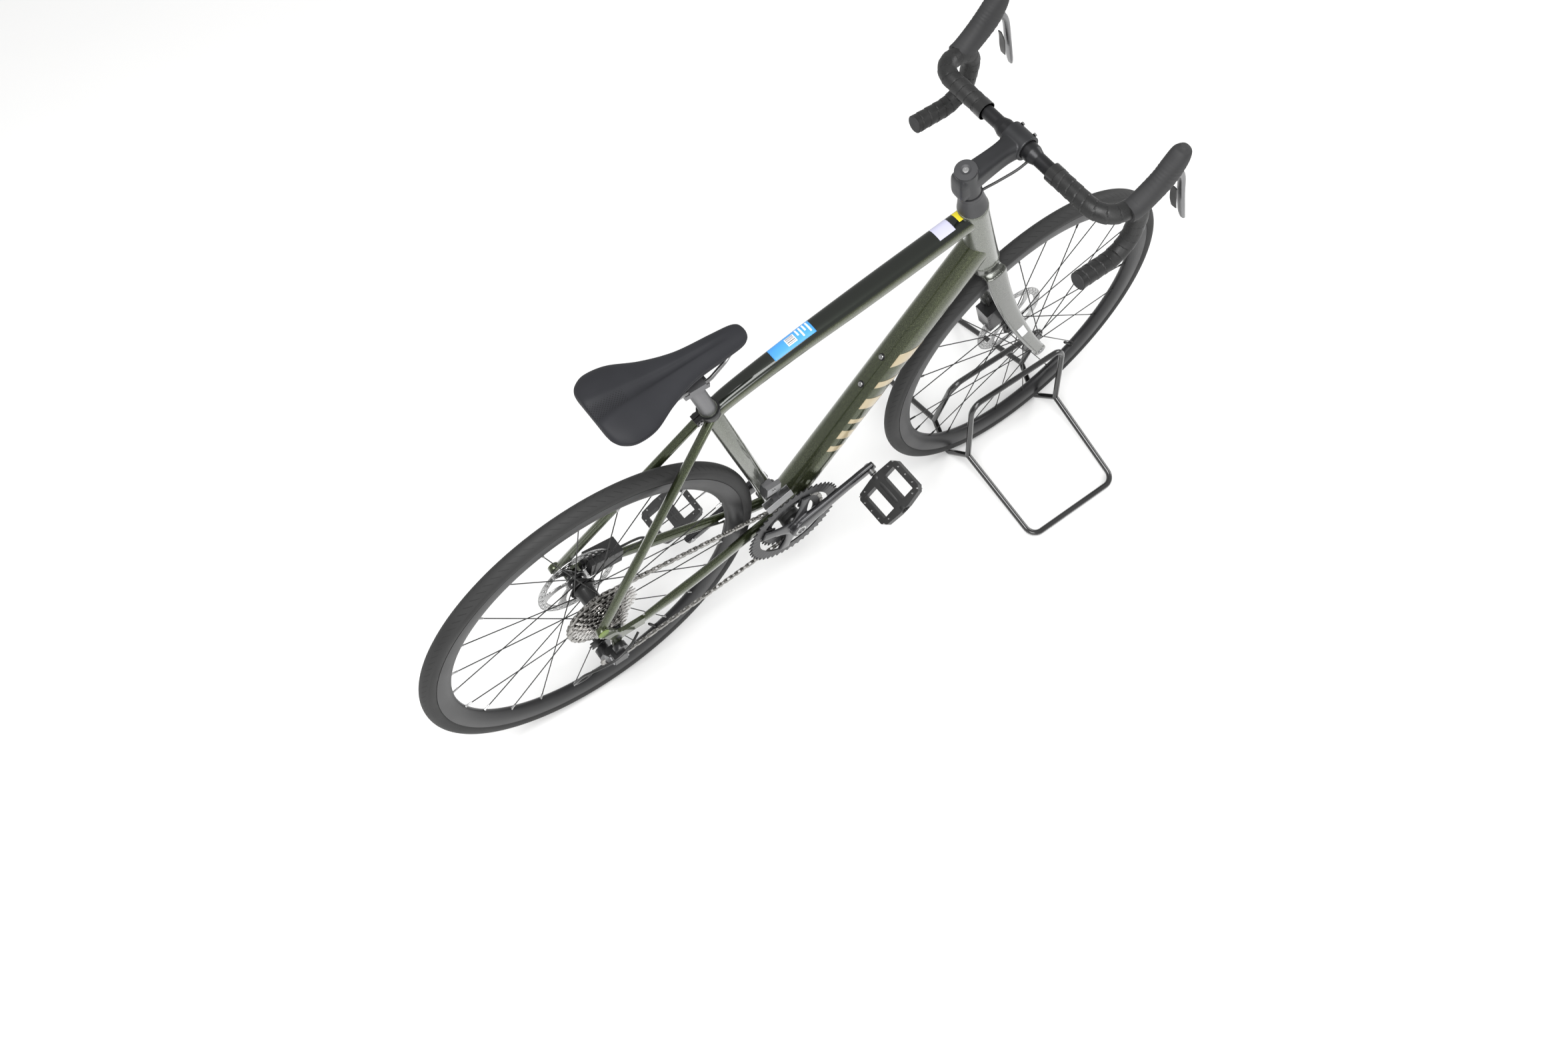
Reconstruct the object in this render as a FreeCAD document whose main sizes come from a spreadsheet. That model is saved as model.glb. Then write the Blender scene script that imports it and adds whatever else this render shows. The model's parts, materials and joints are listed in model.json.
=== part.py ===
"""A road bicycle held by its front wheel in a bent-rod floor stand.

Millimetres, +X forward, +Y to the rider's left, +Z up. The origin is on the floor, midway
between the two axles. Sizes are kept in the sheet and bound to the objects by expressions.
"""
import FreeCAD, Part
import math
import os
import Sketcher
from FreeCAD import Placement, Rotation, Vector

SIZES = {
    "wheel_radius": 341.0, "tyre_half": 15.0, "tyre_wall": 2.6, "rim_seat": 314.0, "rim_inner": 284.0,
    "rim_half": 11.5, "rim_nose_half": 5.0, "wheelbase": 1005.0, "head_angle": 71.2, "fork_rake": 51.0,
    "spoke_radius": 1.0, "flange_radius": 25.0, "flange_half": 1.5, "spoke_circle": 21.0,
    "shell_radius": 13.0, "rear_shell_radius": 17.0, "axle_radius": 6.0, "running_gap": 0.05,
    "front_hub_half": 49.6, "rear_hub_half": 70.6, "rotor_radius": 80.0, "rotor_band": 66.0,
    "rotor_half": 0.9, "front_rotor_y": 35.0, "rear_rotor_y": 55.0,
    "steerer_radius": 14.3, "head_tube_length": 180.0, "head_tube_start": 391.0, "head_tube_low": 28.0,
    "head_tube_high": 25.5, "head_bore": 21.0, "blade_top_fore": 22.0, "blade_top_side": 9.5,
    "blade_low_fore": 12.0, "blade_low_side": 5.5, "stem_clamp_radius": 19.0, "stem_clamp_height": 62.0,
    "cover_height": 46.0, "bar_radius": 11.9, "bar_clamp_radius": 15.9, "tape_radius": 15.0,
    "faceplate_radius": 22.0, "faceplate_width": 44.0, "bar_half_width": 201.0,
    "bb_shell_radius": 21.0, "bb_shell_half": 34.0, "spindle_radius": 12.0,
    "seat_tube_radius": 15.9, "post_radius": 13.6, "post_bore": 11.4,
    "down_tube_head": 29.0, "down_tube_low": 27.0, "down_tube_low_side": 30.0,
    "top_tube_head_side": 20.0, "top_tube_head_high": 18.0, "top_tube_seat_side": 16.0,
    "top_tube_seat_high": 14.0, "tube_wall": 2.4, "seatstay_radius": 8.0,
    "crank_length": 171.5, "outer_ring": 98.0, "inner_ring": 64.8, "ring_half": 1.4,
    "largest_cog": 65.0, "cog_half": 0.9, "cog_pitch": 3.95, "freehub_radius": 17.3,
    "pulley_pitch": 22.5, "pulley_radius": 18.6, "chain_pitch_radius": 68.8, "chain_half_width": 3.1,
    "chain_half_height": 3.3, "pedal_length": 103.0, "pedal_width": 82.0, "pedal_thickness": 17.0,
    "pedal_axle": 5.0, "rod_radius": 6.0, "rail_radius": 3.5, "housing_radius": 2.2,
    "boss_radius": 5.5, "boss_thread": 2.5, "pivot_radius": 2.0,
}

doc = FreeCAD.newDocument("bicycle_on_stand")
sheet = doc.addObject("Spreadsheet::Sheet", "Sizes")
for row, (alias, number) in enumerate(SIZES.items(), start=1):
    sheet.set(f"A{row}", alias)
    sheet.set(f"B{row}", str(number))
    sheet.setAlias(f"B{row}", alias)
doc.recompute()

NODES = []
LEFT, RIGHT = 1, -1
SIDE_NAMES = {LEFT: "left", RIGHT: "right"}
ACROSS = Vector(0, 1, 0)
UP = Vector(0, 0, 1)


def size(alias):
    """A size read back from the sheet, for placing one piece from another."""
    return float(sheet.get(alias))


def worked(expression):
    """The value of a sheet expression such as 'Sizes.rim_seat + 2'."""
    return float(doc.Sizes.evalExpression(expression.replace("Sizes.", "")))


def node(item, label):
    """Marks a document object as one finished piece of the bicycle."""
    item.Label = label
    NODES.append(label)
    return item


def facing(direction, upright=None):
    """The turn that points local Z along a direction, and local X near 'upright' if it is given."""
    if upright is None:
        return Rotation(UP, direction)
    return Rotation(upright, Vector(), direction, "ZXY")


def primitive(kind, name, place, **bound):
    """A Part primitive whose sizes are bound to expressions on the sheet."""
    item = doc.addObject(kind, name)
    for prop, expression in bound.items():
        item.setExpression(prop, str(expression))
    item.Placement = place
    return item


def rod(name, start, direction, radius, length):
    """A round bar from a start point along a direction."""
    place = Placement(start, facing(direction))
    return primitive("Part::Cylinder", name, place, Radius=radius, Height=length)


def cross_bar(name, centre, radius, half_length):
    """A round bar along Y, centred on a point."""
    start = centre - ACROSS * worked(str(half_length))
    return rod(name, start, ACROSS, radius, f"2 * ({half_length})")


def block(name, centre, turn, length, width, height):
    """A box centred on a point, with its three sides along the turned axes."""
    half = Vector(worked(str(length)) / 2, worked(str(width)) / 2, worked(str(height)) / 2)
    place = Placement(centre - turn.multVec(half), turn)
    return primitive("Part::Box", name, place, Length=length, Width=width, Height=height)


def fuse(name, pieces):
    """All the pieces joined into one solid in a single step."""
    item = doc.addObject("Part::MultiFuse", name)
    item.Shapes = pieces
    return item


def fuse_in_turn(name, pieces):
    """The same, one piece after another, for coaxial pieces that meet face to face."""
    joined = pieces[0]
    for index, piece in enumerate(pieces[1:]):
        last = index == len(pieces) - 2
        item = doc.addObject("Part::Fuse", name if last else f"{name}_join_{index}")
        item.Base = joined
        item.Tool = piece
        joined = item
    return joined


def cut(name, base, tools):
    """The base with each tool taken out of it, one after another."""
    for index, tool in enumerate(tools):
        last = index == len(tools) - 1
        item = doc.addObject("Part::Cut", name if last else f"{name}_trim_{index}")
        item.Base = base
        item.Tool = tool
        base = item
    return base


def oval(name, centre, normal, side_axis, across, along):
    """An ellipse: 'across' is its radius along side_axis, 'along' its radius at right angles."""
    wide = worked(across) >= worked(along)
    major, minor = (across, along) if wide else (along, across)
    first = side_axis if wide else normal.cross(side_axis)
    return primitive("Part::Ellipse", name, Placement(centre, facing(normal, first)),
                     MajorRadius=major, MinorRadius=minor)


def loft(name, sections):
    """A solid through oval sections, each (centre, normal, side axis, across, along)."""
    ovals = [oval(f"{name}_section_{index}", *section) for index, section in enumerate(sections)]
    item = doc.addObject("Part::Loft", name)
    item.Sections = ovals
    item.Solid = True
    return item


def rounded_route(points, radii):
    """A wire of straight runs joined by tangent arcs, one radius for each inner point."""
    edges = []
    start = points[0]
    for before, corner, after, radius in zip(points, points[1:], points[2:], radii):
        inward = (before - corner).normalize()
        outward = (after - corner).normalize()
        half_turn = (math.pi - inward.getAngle(outward)) / 2
        tangent = radius * math.tan(half_turn)
        first = corner + inward * tangent
        last = corner + outward * tangent
        bisector = (inward + outward).normalize()
        middle = corner + bisector * (radius / math.cos(half_turn) - radius)
        if (first - start).Length > 1e-3:
            edges.append(Part.LineSegment(start, first).toShape())
        edges.append(Part.Arc(first, middle, last).toShape())
        start = last
    edges.append(Part.LineSegment(start, points[-1]).toShape())
    return Part.Wire(edges)


def swept(name, wire, radius):
    """A round rod whose middle line is a wire; its radius is bound to the sheet."""
    spine = doc.addObject("Part::Feature", f"{name}_line")
    spine.Shape = wire
    first = wire.OrderedEdges[0]
    start = first.valueAt(first.FirstParameter)
    tangent = first.tangentAt(first.FirstParameter)
    if (start - wire.OrderedVertexes[0].Point).Length > 1e-6:
        start = wire.OrderedVertexes[0].Point
    ring = primitive("Part::Circle", f"{name}_ring", Placement(start, facing(tangent)), Radius=radius)
    item = doc.addObject("Part::Sweep", name)
    item.Sections = [ring]
    item.Spine = (spine, [f"Edge{index + 1}" for index in range(len(wire.Edges))])
    item.Solid = True
    item.Frenet = False
    return item


def bent_rod(name, points, radii, radius):
    return swept(name, rounded_route(points, radii), radius)


def profile_body(name, corners, feature, **options):
    """A PartDesign body from one closed outline on its XY plane, every corner bound to the sheet.

    'Revolution' turns the outline about the body's Y axis; 'Pad' raises it evenly to both sides.
    """
    body = doc.addObject("PartDesign::Body", name)
    sketch = body.newObject("Sketcher::SketchObject", f"{name}_outline")
    plane = [face for face in body.Origin.OriginFeatures if face.Role == "XY_Plane"][0]
    sketch.AttachmentSupport = (plane, [""])
    sketch.MapMode = "FlatFace"
    places = [Vector(worked(x), worked(y), 0) for x, y in corners]
    for index, place in enumerate(places):
        sketch.addGeometry(Part.LineSegment(place, places[(index + 1) % len(places)]), False)
    for index in range(len(places)):
        sketch.addConstraint(Sketcher.Constraint("Coincident", index, 2, (index + 1) % len(places), 1))
    for index, (place, corner) in enumerate(zip(places, corners)):
        ties = (("DistanceX", place.x, corner[0]), ("DistanceY", place.y, corner[1]))
        for kind, value, expression in ties:
            row = sketch.addConstraint(Sketcher.Constraint(kind, -1, 1, index, 1, value))
            sketch.setExpression(f"Constraints[{row}]", expression)
    made = body.newObject(f"PartDesign::{feature}", f"{name}_{feature.lower()}")
    made.Profile = sketch
    if feature == "Revolution":
        made.ReferenceAxis = (sketch, ["V_Axis"])
        made.Angle = 360
    else:
        made.setExpression("Length", options["thickness"])
        made.Midplane = True
    return body


# --- places that every piece is set out from ------------------------------------------------

HALF_BASE = size("wheelbase") / 2
FRONT_AXLE = Vector(HALF_BASE, 0, size("wheel_radius"))
REAR_AXLE = Vector(-HALF_BASE, 0, size("wheel_radius"))
HEAD_ANGLE = math.radians(size("head_angle"))
STEER_UP = Vector(-math.cos(HEAD_ANGLE), 0, math.sin(HEAD_ANGLE))
STEER_FORWARD = Vector(math.sin(HEAD_ANGLE), 0, math.cos(HEAD_ANGLE))
STEER_FOOT = FRONT_AXLE - STEER_FORWARD * size("fork_rake")
BRACKET = Vector(-94, 0, 268)
SEAT_UP = Vector(-0.3066, 0, 0.9518)
SEAT_FOOT = Vector(-99, 0, 268)
HEAD_START = size("head_tube_start")
HEAD_END = HEAD_START + size("head_tube_length")
BODY_GAP = 0.5
CRANK_ANGLE = math.radians(27.5)
CRANK_FORWARD = Vector(math.cos(CRANK_ANGLE), 0, math.sin(CRANK_ANGLE))
BAR_CENTRE = Vector(345, 0, 963)
GUIDE_AXIS = Vector(-514, -26, 242)
TENSION_AXIS = Vector(-497, -26, 146)
KNUCKLE_AXIS = Vector(-522, -26, 238)
CHAIN_REAR_Y, CHAIN_FRONT_Y = -26.0, -40.0


def on_steerer(distance):
    return STEER_FOOT + STEER_UP * distance


def on_seat_tube(distance):
    return SEAT_FOOT + SEAT_UP * distance


# --- stand ---------------------------------------------------------------------------------

STAND_REACH, STAND_SPREAD, STAND_BEND = 125.0, 266.0, 25.0
STAND_JUNCTION = Vector(0, 55, 60)
HOOP_TOP = Vector(0, 31, 215)
CROSS_ROD_DIP = 1.5


def stand_point(along, side, spread, height):
    return Vector(HALF_BASE - 2.5 + along, side * spread, height)


def stand_side(side):
    """One side of the stand: a floor loop with rising legs, and a hoop beside the wheel."""
    name = f"stand_{SIDE_NAMES[side]}"
    floor = size("rod_radius")
    loop = [stand_point(STAND_REACH, side, STAND_JUNCTION.y, STAND_JUNCTION.z),
            stand_point(STAND_REACH - 8, side, STAND_SPREAD, floor),
            stand_point(8 - STAND_REACH, side, STAND_SPREAD, floor),
            stand_point(-STAND_REACH, side, STAND_JUNCTION.y, STAND_JUNCTION.z)]
    hoop = [stand_point(STAND_REACH, side, STAND_JUNCTION.y, STAND_JUNCTION.z),
            stand_point(STAND_REACH, side, HOOP_TOP.y, HOOP_TOP.z),
            stand_point(-STAND_REACH, side, HOOP_TOP.y, HOOP_TOP.z),
            stand_point(-STAND_REACH, side, STAND_JUNCTION.y, STAND_JUNCTION.z)]
    loop_rod = bent_rod(f"{name}_loop", loop, [STAND_BEND, STAND_BEND], "Sizes.rod_radius")
    hoop_rod = bent_rod(f"{name}_hoop", hoop, [STAND_BEND, STAND_BEND], "Sizes.rod_radius")
    welds = [primitive("Part::Sphere", f"{name}_weld_{index}", Placement(point, Rotation()),
                       Radius="Sizes.rod_radius + 0.6")
             for index, point in enumerate((loop[0], loop[-1]))]
    return node(fuse(name, [loop_rod, hoop_rod] + welds), name)


def stand_cross_rods(sides):
    """Two rods that dip under the tyre and join the left side to the right."""
    rods = []
    for index, along in enumerate((STAND_REACH, -STAND_REACH)):
        points = [stand_point(along, LEFT, STAND_JUNCTION.y, STAND_JUNCTION.z),
                  stand_point(along, LEFT, 0, CROSS_ROD_DIP),
                  stand_point(along, RIGHT, STAND_JUNCTION.y, STAND_JUNCTION.z)]
        rods.append(bent_rod(f"cross_rod_{index}", points, [12], "Sizes.rod_radius"))
    return node(cut("stand_cross_rods", fuse("cross_rods_whole", rods), sides), "stand_cross_rods")


# --- wheels --------------------------------------------------------------------------------

def rim(end, axle):
    half, nose = "Sizes.rim_half", "Sizes.rim_nose_half"
    shoulder = "Sizes.rim_inner + 17"
    corners = [("Sizes.rim_inner", f"-{nose}"), (shoulder, f"-{half}"), ("Sizes.rim_seat", f"-{half}"),
               ("Sizes.rim_seat", half), (shoulder, half), ("Sizes.rim_inner", nose)]
    body = profile_body(f"{end}_rim", corners, "Revolution")
    body.Placement = Placement(axle, Rotation())
    return node(body, f"{end}_rim")


def tyre(end, axle, rim_body):
    ring = dict(Radius1="Sizes.wheel_radius - Sizes.tyre_half")
    place = Placement(axle, facing(ACROSS))
    wall = "Sizes.tyre_half - Sizes.tyre_wall"
    outside = primitive("Part::Torus", f"{end}_tyre_outside", place, Radius2="Sizes.tyre_half", **ring)
    inside = primitive("Part::Torus", f"{end}_tyre_air", place, Radius2=wall, **ring)
    return node(cut(f"{end}_tyre", outside, [inside, rim_body]), f"{end}_tyre")


def hub(end, axle, half_width, flanges, shell):
    """A turned shell with two flanges, bored for the axle. Flanges are (left y, right y)."""
    flange_left, flange_right = flanges
    barrel, flange, thick, end_radius = shell, "Sizes.flange_radius", "Sizes.flange_half", "11"
    bore = "Sizes.axle_radius + Sizes.running_gap"
    corners = [(bore, f"-{half_width}"), (end_radius, f"-{half_width}"),
               (end_radius, f"{flange_right - 6}"), (barrel, f"{flange_right - 4}"),
               (barrel, f"{flange_right} - {thick}"), (flange, f"{flange_right} - {thick}"),
               (flange, f"{flange_right} + {thick}"), (barrel, f"{flange_right} + {thick}"),
               (barrel, f"{flange_left} - {thick}"), (flange, f"{flange_left} - {thick}"),
               (flange, f"{flange_left} + {thick}"), (barrel, f"{flange_left} + {thick}"),
               (barrel, f"{flange_left + 8}"), (end_radius, f"{flange_left + 10}"),
               (end_radius, half_width), (bore, half_width)]
    body = profile_body(f"{end}_hub", corners, "Revolution")
    body.Placement = Placement(axle, Rotation())
    return body


def spokes(end, axle, flanges, count=24, crossing=68.0):
    """Tangential spokes: each leaves its flange face, crosses its neighbour and meets the rim bed."""
    rods = []
    stand_off = size("flange_half") + size("spoke_radius") + 1.4
    step = 360.0 / count
    for index in range(count):
        flange = flanges[index % 2]
        lean = 1 if (index // 2) % 2 else -1
        rim_angle = math.radians(index * step)
        hub_angle = rim_angle + lean * math.radians(crossing)
        inner = axle + Vector(math.sin(hub_angle), 0, math.cos(hub_angle)) * size("spoke_circle")
        inner.y = flange + lean * stand_off
        outer = axle + Vector(math.sin(rim_angle), 0, math.cos(rim_angle)) * size("rim_inner")
        outer.y = math.copysign(1.5, flange)
        run = outer - inner
        rods.append(rod(f"{end}_spoke_{index}", inner, run, "Sizes.spoke_radius", f"{run.Length:.4f}"))
    group = doc.addObject("Part::Compound", f"{end}_spokes")
    group.Links = rods
    return node(group, f"{end}_spokes")


def rotor(end, axle, offset):
    """A disc brake rotor: a drilled band on five arms round a lock ring."""
    centre = axle + ACROSS * size(offset)
    half = "Sizes.rotor_half"
    band = cut(f"{end}_rotor_band",
               cross_bar(f"{end}_rotor_disc", centre, "Sizes.rotor_radius", half),
               [cross_bar(f"{end}_rotor_window", centre, "Sizes.rotor_band", half)])
    carrier = cross_bar(f"{end}_rotor_carrier", centre, "24", half)
    arms = []
    for index in range(5):
        turn = Rotation(ACROSS, 72.0 * index)
        middle = centre + turn.multVec(Vector(45, 0, 0))
        arms.append(block(f"{end}_rotor_arm_{index}", middle, turn, "44", f"2 * {half}", "9"))
    lock_ring = cross_bar(f"{end}_lock_ring", centre, "19", "3.5")
    return fuse(f"{end}_rotor_whole", [band, carrier, lock_ring] + arms)


def wheel(end, axle, half_width, flanges, shell, rotor_offset):
    rim_body = rim(end, axle)
    tyre(end, axle, rim_body)
    hub_body = hub(end, axle, half_width, flanges, shell)
    axle_way = cross_bar(f"{end}_axle_way", axle, "10.9", "90")
    node(cut(f"{end}_rotor", rotor(end, axle, rotor_offset), [hub_body, axle_way]), f"{end}_rotor")
    node(hub_body, f"{end}_hub")
    spokes(end, axle, flanges)


# --- fork, headset, stem and bar -----------------------------------------------------------

def fork_blade(side):
    sections = []
    for index in range(6):
        share = index / 5
        line = on_steerer(374 * (1 - share)) + STEER_FORWARD * (size("fork_rake") * share ** 2)
        centre = line + ACROSS * (side * (31 + 25 * share))
        across = f"Sizes.blade_top_side + {share} * (Sizes.blade_low_side - Sizes.blade_top_side)"
        along = f"Sizes.blade_top_fore + {share} * (Sizes.blade_low_fore - Sizes.blade_top_fore)"
        sections.append((centre, STEER_UP, ACROSS, across, along))
    return loft(f"blade_{SIDE_NAMES[side]}", sections)


def fork():
    """Steerer, crown, two curved blades and their axle eyes in one piece."""
    pieces = [fork_blade(side) for side in (LEFT, RIGHT)]
    pieces.append(rod("steerer", on_steerer(370), STEER_UP, "Sizes.steerer_radius", "302"))
    pieces.append(rod("crown_seat", on_steerer(374), STEER_UP, "Sizes.head_tube_low - 0.5",
                      f"Sizes.head_tube_start - {BODY_GAP} - 374"))
    crown_turn = facing(STEER_UP, STEER_FORWARD)
    pieces.append(block("crown", on_steerer(366) + STEER_FORWARD, crown_turn, "46", "80", "22"))
    for side in (LEFT, RIGHT):
        centre = FRONT_AXLE + ACROSS * (side * 55.5)
        pieces.append(cross_bar(f"fork_eye_{SIDE_NAMES[side]}", centre, "13", "5.5"))
    tyre_way = primitive("Part::Torus", "tyre_way", Placement(FRONT_AXLE, facing(ACROSS)),
                         Radius1="Sizes.wheel_radius - Sizes.tyre_half", Radius2="Sizes.tyre_half + 6")
    hub_way = cross_bar("front_hub_way", FRONT_AXLE, "22", "Sizes.front_hub_half + 0.4")
    axle_way = cross_bar("front_axle_way", FRONT_AXLE, "Sizes.axle_radius", "70")
    return node(cut("fork", fuse("fork_whole", pieces), [tyre_way, hub_way, axle_way]), "fork")


def axle(end, centre, half_length):
    """A through axle with a wider head on its left end."""
    shaft = cross_bar(f"{end}_axle_shaft", centre, "Sizes.axle_radius", half_length)
    head = cross_bar(f"{end}_axle_head", centre + ACROSS * (worked(half_length) + 1.5), "9", "1.5")
    return node(fuse(f"{end}_axle", [shaft, head]), f"{end}_axle")


def headset():
    """Upper and lower bearings in the head tube, and the cover and spacers above it."""
    steerer = rod("headset_bore", on_steerer(370), STEER_UP, "Sizes.steerer_radius", "400")
    seat = "Sizes.head_bore - Sizes.running_gap"
    rings = [rod("lower_bearing", on_steerer(HEAD_START + 2), STEER_UP, seat, "9"),
             rod("upper_bearing", on_steerer(HEAD_END - 10), STEER_UP, seat, "8")]
    cover_place = Placement(on_steerer(HEAD_END + BODY_GAP), facing(STEER_UP))
    cover = primitive("Part::Cone", "headset_cover", cover_place,
                      Radius1="Sizes.head_tube_high - 0.4", Radius2="Sizes.stem_clamp_radius + 1",
                      Height="Sizes.cover_height")
    group = doc.addObject("Part::Compound", "headset_rings")
    group.Links = rings + [cover]
    return node(cut("headset", group, [steerer]), "headset")


STEM_START = HEAD_END + BODY_GAP + SIZES["cover_height"]


def stem_and_faceplate():
    clamp = rod("stem_clamp", on_steerer(STEM_START), STEER_UP,
                "Sizes.stem_clamp_radius", "Sizes.stem_clamp_height")
    rear = on_steerer(STEM_START + 34)
    run = BAR_CENTRE - rear
    along_stem = facing(UP.cross(run).cross(run) * -1, run)
    arm = block("stem_arm", (rear + BAR_CENTRE) / 2, along_stem, f"{run.Length:.3f}", "34", "30")
    grip = cross_bar("bar_grip", BAR_CENTRE, "Sizes.faceplate_radius", "Sizes.faceplate_width / 2")
    steerer = rod("stem_bore", on_steerer(STEM_START - 5), STEER_UP, "Sizes.steerer_radius", "62")
    bar_way = cross_bar("bar_way", BAR_CENTRE, "Sizes.bar_clamp_radius", "60")
    forward = Vector(run).normalize()
    front_half = block("front_half", BAR_CENTRE + forward * 25.5, along_stem, "50", "80", "80")
    split = block("clamp_split", BAR_CENTRE + forward * 25, along_stem, "50", "80", "80")
    whole = fuse("stem_whole", [clamp, arm, grip])
    node(cut("stem", whole, [steerer, bar_way, split]), "stem")
    plate = doc.addObject("Part::Common", "faceplate_half")
    plate.Base = cross_bar("faceplate_round", BAR_CENTRE,
                           "Sizes.faceplate_radius", "Sizes.faceplate_width / 2")
    plate.Tool = front_half
    node(cut("stem_faceplate", plate, [bar_way]), "stem_faceplate")


def bar_points(side, start):
    """Corner points of one half of the bar: flat top, forward ramp, hook and drop."""
    half = side * size("bar_half_width")
    return [Vector(345, side * start, 963), Vector(345, half - side * 3, 963),
            Vector(427, half, 956), Vector(424, half + side * 2, 846),
            Vector(319, half + side * 3, 843)]


BAR_BENDS = [38, 40, 50]


def handlebar_and_tape():
    halves = [bent_rod(f"bar_{SIDE_NAMES[side]}", bar_points(side, 0), BAR_BENDS, "Sizes.bar_radius")
              for side in (LEFT, RIGHT)]
    centre = cross_bar("bar_middle", BAR_CENTRE, "Sizes.bar_clamp_radius", "34")
    bar = node(fuse("handlebar", halves + [centre]), "handlebar")
    tapes = {}
    for side in (LEFT, RIGHT):
        name = f"bar_tape_{SIDE_NAMES[side]}"
        outside = bent_rod(f"{name}_outside", bar_points(side, 76), BAR_BENDS, "Sizes.tape_radius")
        node(cut(name, outside, [bar]), name)
        tapes[side] = outside
    return tapes


LEVER_PIVOT = Vector(467, 203, 1006)


def mirrored(point, side):
    return Vector(point.x, side * point.y, point.z)


def hood(side, tape_outside):
    """The rubber-covered lever body on the bar, slotted in front for the brake lever."""
    name = f"hood_{SIDE_NAMES[side]}"
    route = [((398, 201, 957), (0.75, 0, 0.66), "18", "23"),
             ((422, 202, 976), (0.80, 0, 0.60), "17", "23"),
             ((450, 203, 1002), (0.66, 0, 0.75), "16.5", "26"),
             ((464, 203, 1030), (0.45, 0, 0.89), "17", "21"),
             ((470, 203, 1052), (0.35, 0, 0.94), "11", "12")]
    sections = [(mirrored(Vector(*centre), side), Vector(*normal).normalize(), ACROSS, across, along)
                for centre, normal, across, along in route]
    body = loft(f"{name}_body", sections)
    pivot = mirrored(LEVER_PIVOT, side)
    slot = block(f"{name}_slot", pivot + Vector(13, 0, -18), Rotation(), "44", "12", "54")
    pin = cross_bar(f"{name}_pin", pivot, "Sizes.pivot_radius", "9")
    opened = cut(f"{name}_opened", body, [slot, tape_outside])
    return node(fuse(name, [opened, pin]), name)


def brake_lever(side):
    """A curved blade hanging from its pivot pin in the hood."""
    name = f"brake_lever_{SIDE_NAMES[side]}"
    pivot = mirrored(LEVER_PIVOT, side)
    route = [((470, 203, 1003), (0.85, 0, -0.53), "5.2", "4"),
             ((494, 203.5, 975), (0.42, 0.01, -0.91), "6.5", "4.5"),
             ((512, 204.5, 925), (0.33, 0.03, -0.94), "8.0", "4"),
             ((530, 207, 876), (0.36, 0.06, -0.93), "7.5", "3.5"),
             ((538, 209, 856), (0.45, 0.08, -0.89), "6", "3")]
    sections = []
    for centre, normal, across, along in route:
        facing_down = mirrored(Vector(*normal), side).normalize()
        sections.append((mirrored(Vector(*centre), side), facing_down, ACROSS, across, along))
    blade = loft(f"{name}_blade", sections)
    eye = cross_bar(f"{name}_eye", pivot, "6", "5")
    bore = cross_bar(f"{name}_bore", pivot, "Sizes.pivot_radius + Sizes.running_gap", "8")
    return node(cut(name, fuse(f"{name}_whole", [blade, eye]), [bore]), name)


PADDLE_TOP = Vector(489, 208, 950)
PADDLE_FOOT = Vector(509, 211, 893)


def shift_paddle(side):
    """A thin plate behind the brake lever, hinged along its outer edge."""
    name = f"shift_paddle_{SIDE_NAMES[side]}"
    top, foot = mirrored(PADDLE_TOP, side), mirrored(PADDLE_FOOT, side)
    down = foot - top
    middle = (top + foot) / 2 - ACROSS * (side * 7)
    turn = facing(down, ACROSS.cross(down))
    plate = block(f"{name}_plate", middle, turn, "2.4", "15", f"{down.Length:.3f}")
    return node(plate, name)


# --- brake calipers ------------------------------------------------------------------------

def caliper(end, axle_place, offset, centre, lean, foot_shift):
    """A disc caliper that straddles the rotor, with its pads inside the slot walls."""
    turn = Rotation(ACROSS, lean)
    body = block(f"{end}_caliper_body", centre, turn, "34", "34", "66")
    foot_centre = centre + ACROSS * 11 + turn.multVec(Vector(foot_shift, 0, 0))
    mount_foot = block(f"{end}_caliper_foot", foot_centre, turn, "20", "12", "74")
    slot = cross_bar(f"{end}_rotor_slot", axle_place + ACROSS * size(offset), "Sizes.rotor_radius + 3", "1.6")
    return fuse(f"{end}_caliper_whole", [body, mount_foot]), slot


def front_caliper():
    whole, slot = caliper("front", FRONT_AXLE, "front_rotor_y", Vector(444, 40, 398), -18.8, 5)
    return node(cut("front_caliper", whole, [slot, doc.getObject("blade_left")]), "front_caliper")


# --- frame tubes ---------------------------------------------------------------------------

def head_tube():
    outside = primitive("Part::Cone", "head_tube_outside",
                        Placement(on_steerer(HEAD_START), facing(STEER_UP)), Radius1="Sizes.head_tube_low",
                        Radius2="Sizes.head_tube_high", Height="Sizes.head_tube_length")
    bore = rod("head_tube_bore", on_steerer(HEAD_START - 5), STEER_UP,
               "Sizes.head_bore", "Sizes.head_tube_length + 10")
    node(cut("head_tube", outside, [bore]), "head_tube")
    return outside


def seat_tube():
    outside = rod("seat_tube_outside", on_seat_tube(10), SEAT_UP, "Sizes.seat_tube_radius", "489")
    bore = rod("seat_tube_bore", on_seat_tube(60), SEAT_UP, "Sizes.post_radius + Sizes.running_gap", "460")
    return outside, bore


def hollow_pair(name, sections):
    """Outer and inner lofts of a hollow tube; the inner one is a wall thickness smaller."""
    wall = "Sizes.tube_wall"
    inner = [(centre, normal, side, f"({across}) - {wall}", f"({along}) - {wall}")
             for centre, normal, side, across, along in sections]
    return loft(f"{name}_outside", sections), loft(f"{name}_inside", inner)


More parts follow.
